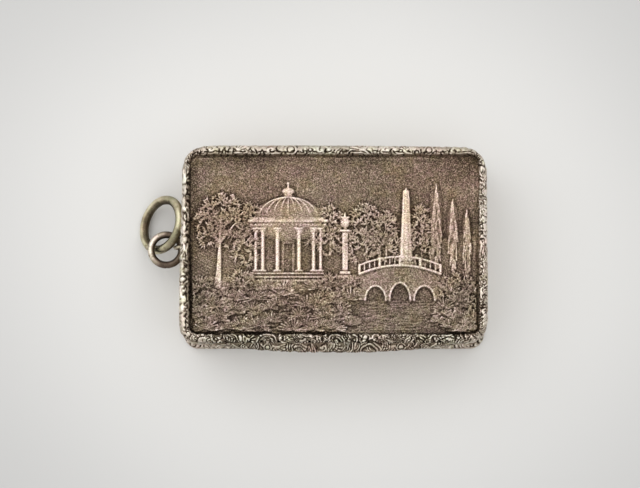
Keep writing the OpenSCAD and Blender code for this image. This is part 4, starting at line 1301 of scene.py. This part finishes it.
def leaf_line(cx, cy, turn, ln, w, grow=0.17):
    """The outline of one pierced leaf, a little outside its edge."""
    ln, w = ln + 1.5 * grow, w + 2 * grow
    R = (ln * ln / 4 + w * w / 4) / w
    half = math.asin(min(1.0, ln / (2 * R)))
    a = np.linspace(-half, half, 14)
    up = np.stack([R * np.sin(a), R * np.cos(a) - (R - w / 2)], -1)
    dn = np.stack([R * np.sin(-a), -(R * np.cos(a) - (R - w / 2))], -1)
    pts = np.concatenate([up[:-1], dn[:-1]])
    c, s_ = math.cos(turn), math.sin(turn)
    return np.stack([cx + c * pts[:, 0] - s_ * pts[:, 1], cy + s_ * pts[:, 0] + c * pts[:, 1]], -1)


def petals(cx, cy, n, r_mid, ln, w, turn=0.0):
    for k in range(n):
        a = 2 * math.pi * k / n + math.radians(turn)
        rib(leaf_line(cx + r_mid * math.cos(a), cy + r_mid * math.sin(a), a, ln, w), 0.075, True)


def circle_line(cx, cy, r, n=40):
    a = np.arange(n) * 2 * math.pi / n
    return np.stack([cx + r * np.cos(a), cy + r * np.sin(a)], -1)


petals(0, 0, 8, 2.75, 3.1, 1.15)
petals(0, 0, 8, 4.75, 1.2, 0.62, 22.5)
rib(circle_line(0, 0, 0.85), 0.09, True)
rib(circle_line(0, 0, 5.75, 90), 0.085, True)
for mx in (-1, 1):
    cx = 11.2 * mx
    petals(cx, 0, 6, 1.95, 1.9, 0.9, 30)
    rib(circle_line(cx, 0, 0.78), 0.08, True)
    rib(circle_line(cx, 0, 3.45, 70), 0.085, True)
    for k in range(13):
        a = math.radians(20 + 320 * k / 12)
        a = a if mx > 0 else math.pi - a
        lean = math.radians(114)
        rib(leaf_line(cx + 4.75 * math.cos(a), 4.75 * math.sin(a), a + (lean if mx > 0 else -lean), 1.75, 0.72), 0.07, True)
    for my in (-1, 1):
        def q(x, y):
            return mx * x, my * y

        def face(a):
            a = a if mx > 0 else math.pi - a
            return a if my > 0 else -a

        x0, y0 = q(5.3, 5.9)
        rib(circle_line(x0, y0, 1.05), 0.08, True)
        for k in range(6):
            a = math.radians(60 + 240 * k / 5)
            lx, ly = q(5.3 + 2.2 * math.cos(a), 5.9 + 2.2 * math.sin(a))
            rib(leaf_line(lx, ly, face(a + math.radians(114)), 1.6, 0.7), 0.07, True)
        for k in range(5):
            a = math.radians(72 * k + 45)
            lx, ly = q(16.6 + 1.25 * math.cos(a), 7.1 + 1.25 * math.sin(a))
            rib(leaf_line(lx, ly, face(a), 1.5, 0.7), 0.065, True)
        for lx, ly, tn, ln, w in ((11.2, 8.2, 0, 3.4, 1.0), (1.45, 8.1, 62, 2.4, 0.85), (17.6, 3.3, 60, 2.2, 0.85)):
            rib(leaf_line(*q(lx, ly), face(math.radians(tn)), ln, w), 0.08, True)
        # tendrils that tie the flowers together
        for pts in ([(7.9, 9.6), (9.6, 9.4), (11.2, 9.35), (12.8, 9.4), (14.2, 9.8)],
                    [(14.4, 5.3), (15.1, 5.6), (15.2, 6.4), (14.7, 7.2), (13.6, 7.5)],
                    [(8.0, 7.2), (8.6, 7.6), (9.1, 8.3)], [(3.0, 9.3), (4.2, 9.5), (5.6, 9.4), (6.8, 9.1)],
                    [(18.3, 4.9), (18.5, 5.6), (18.2, 6.2)], [(18.6, 1.6), (18.4, 0.9), (18.6, 0.2)]):
            pp, _, _ = profile_points([q(*v) for v in pts], 26)
            rib(pp, 0.075)
# plain fillets along the edges, broken at the lift
for pts in ([(-2.2, -10.95), (-18.6, -10.95), (-19.1, -10.5), (-19.1, 10.2), (-18.6, 10.7), (18.6, 10.7), (19.1, 10.2), (19.1, -10.5), (18.6, -10.95), (2.2, -10.95)],):
    pp, _, _ = profile_points(pts, 420)
    rib(pp, 0.1)
chasing = mesh_object("grille_chasing", np.concatenate(rib_v), rib_f, {"tone": np.clip(np.concatenate(rib_t), 0, 1)})
chasing.data.materials.append(M_CHASED)
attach(chasing, "grille")


# ------------------------------------------------------------------ carried-over pieces

def finish_node(name, mat, width=0.0, segments=2):
    """Gives a carried-over piece its metal, and eases its edges."""
    ob = NODES[name]
    ob.data.materials.clear()
    ob.data.materials.append(mat)
    wd = ob.modifiers.new("joined corners", "WELD")
    wd.merge_threshold = 0.001 * MM
    if width:
        bv = ob.modifiers.new("eased edges", "BEVEL")
        bv.width = width * MM
        bv.segments = segments
        bv.limit_method = "ANGLE"
        bv.angle_limit = math.radians(40)
        bv.use_clamp_overlap = True
        bv.harden_normals = False


for name, width in (("box_wall", 0.06), ("lid_skirt", 0.06), ("box_hinge_tubes", 0.07), ("lid_hinge_tubes", 0.07)):
    finish_node(name, M_SILVER, width)
for name, width in (("bezel", 0.05), ("grille_seat", 0.06), ("lid_lining", 0.05), ("grille_hinge_lugs", 0.06), ("grille_plate", 0.06), ("grille_hinge_tube", 0.05), ("grille_tab", 0.06)):
    finish_node(name, M_GILT, width)
finish_node("ring_staple", M_STAPLE)
for name in ("hinge_pin", "grille_hinge_pin"):
    finish_node(name, M_PIN, 0.03)


# ------------------------------------------------------------------ stage

mat, nt, bsdf = new_material("floor_paper")
bsdf.inputs["Roughness"].default_value = 0.7
co = node(nt, "ShaderNodeTexCoord").outputs["Object"]
# a painted pool of light: the paper is coloured whiter under the middle of the scene than at its edges
oval = node(nt, "ShaderNodeMapping")
oval.inputs["Location"].default_value = (0.0, -0.005, 0.0)
oval.inputs["Scale"].default_value = (1.0, 1.25, 1.0)
nt.links.new(co, oval.inputs["Vector"])
far = node(nt, "ShaderNodeVectorMath", operation="LENGTH")
nt.links.new(oval.outputs["Vector"], far.inputs[0])
fall = map_range(nt, far.outputs["Value"], 0.012, 0.075, 1.0, 0.0)
fall.node.interpolation_type = "SMOOTHSTEP"
tint = math_node(nt, "ADD", fall, map_range(nt, noise(nt, co, 9, 2, 0.5), 0.3, 0.7, -0.1, 0.1))
col = ramp(nt, [(0.0, (0.515, 0.518, 0.52)), (1.0, (0.80, 0.80, 0.795))], tint)
nt.links.new(col, bsdf.inputs["Base Color"])
floor = mesh_object("floor", [(-3000, -3000, -0.02), (3000, -3000, -0.02), (3000, 3000, -0.02), (-3000, 3000, -0.02)], np.array([[0, 1, 2, 3]]))
floor.data.materials.append(mat)


def area(name, loc, target, size_x, size_y, power, colour=(1, 1, 1)):
    li = bpy.data.lights.new(name, "AREA")
    li.shape = "RECTANGLE"
    li.size, li.size_y = size_x, size_y
    li.energy = power
    li.color = colour
    ob = bpy.data.objects.new(name, li)
    bpy.context.scene.collection.objects.link(ob)
    ob.location = loc
    d = np.array(target, float) - np.array(loc, float)
    ob.rotation_euler = Vector(d).to_track_quat("-Z", "Y").to_euler()
    return ob


area("key", (-0.72, 0.50, 1.05), (0, 0, 0), 1.2, 1.2, 3.2, (1.0, 0.99, 0.97))
area("fill", (0.6, -0.2, 0.9), (0, 0, 0), 0.5, 0.5, 0.8, (1.0, 0.98, 0.95))
world = bpy.data.worlds.new("studio")
bpy.context.scene.world = world
world.use_nodes = True
bg = world.node_tree.nodes["Background"]
bg.inputs["Color"].default_value = (1.0, 0.99, 0.97, 1)
# a broad soft sky, brighter from the back left
wt = world.node_tree
aim = node(wt, "ShaderNodeVectorMath", operation="DOT_PRODUCT")
wt.links.new(node(wt, "ShaderNodeTexCoord").outputs["Generated"], aim.inputs[0])
aim.inputs[1].default_value = (-0.54, 0.59, 0.60)
wt.links.new(map_range(wt, aim.outputs["Value"], -0.6, 1.0, 0.78, 1.16), bg.inputs["Strength"])

cam = bpy.data.cameras.new("camera")
cam_ob = bpy.data.objects.new("camera", cam)
bpy.context.scene.collection.objects.link(cam_ob)
ELEV, DIST = math.radians(83.0), 0.62
target = np.array([-2.04, 0.10, 11.3]) * MM
cam_ob.location = target + DIST * np.array([0, -math.cos(ELEV), math.sin(ELEV)])
cam_ob.rotation_euler = (math.radians(90 - 83.0), 0, 0)
cam.sensor_width = 36.0
cam.lens = 6.978 * 36.0 * (DIST * 1000) / 640
cam.clip_start, cam.clip_end = 0.01, 20
bpy.context.scene.camera = cam_ob
bpy.context.scene.view_settings.view_transform = "Standard"
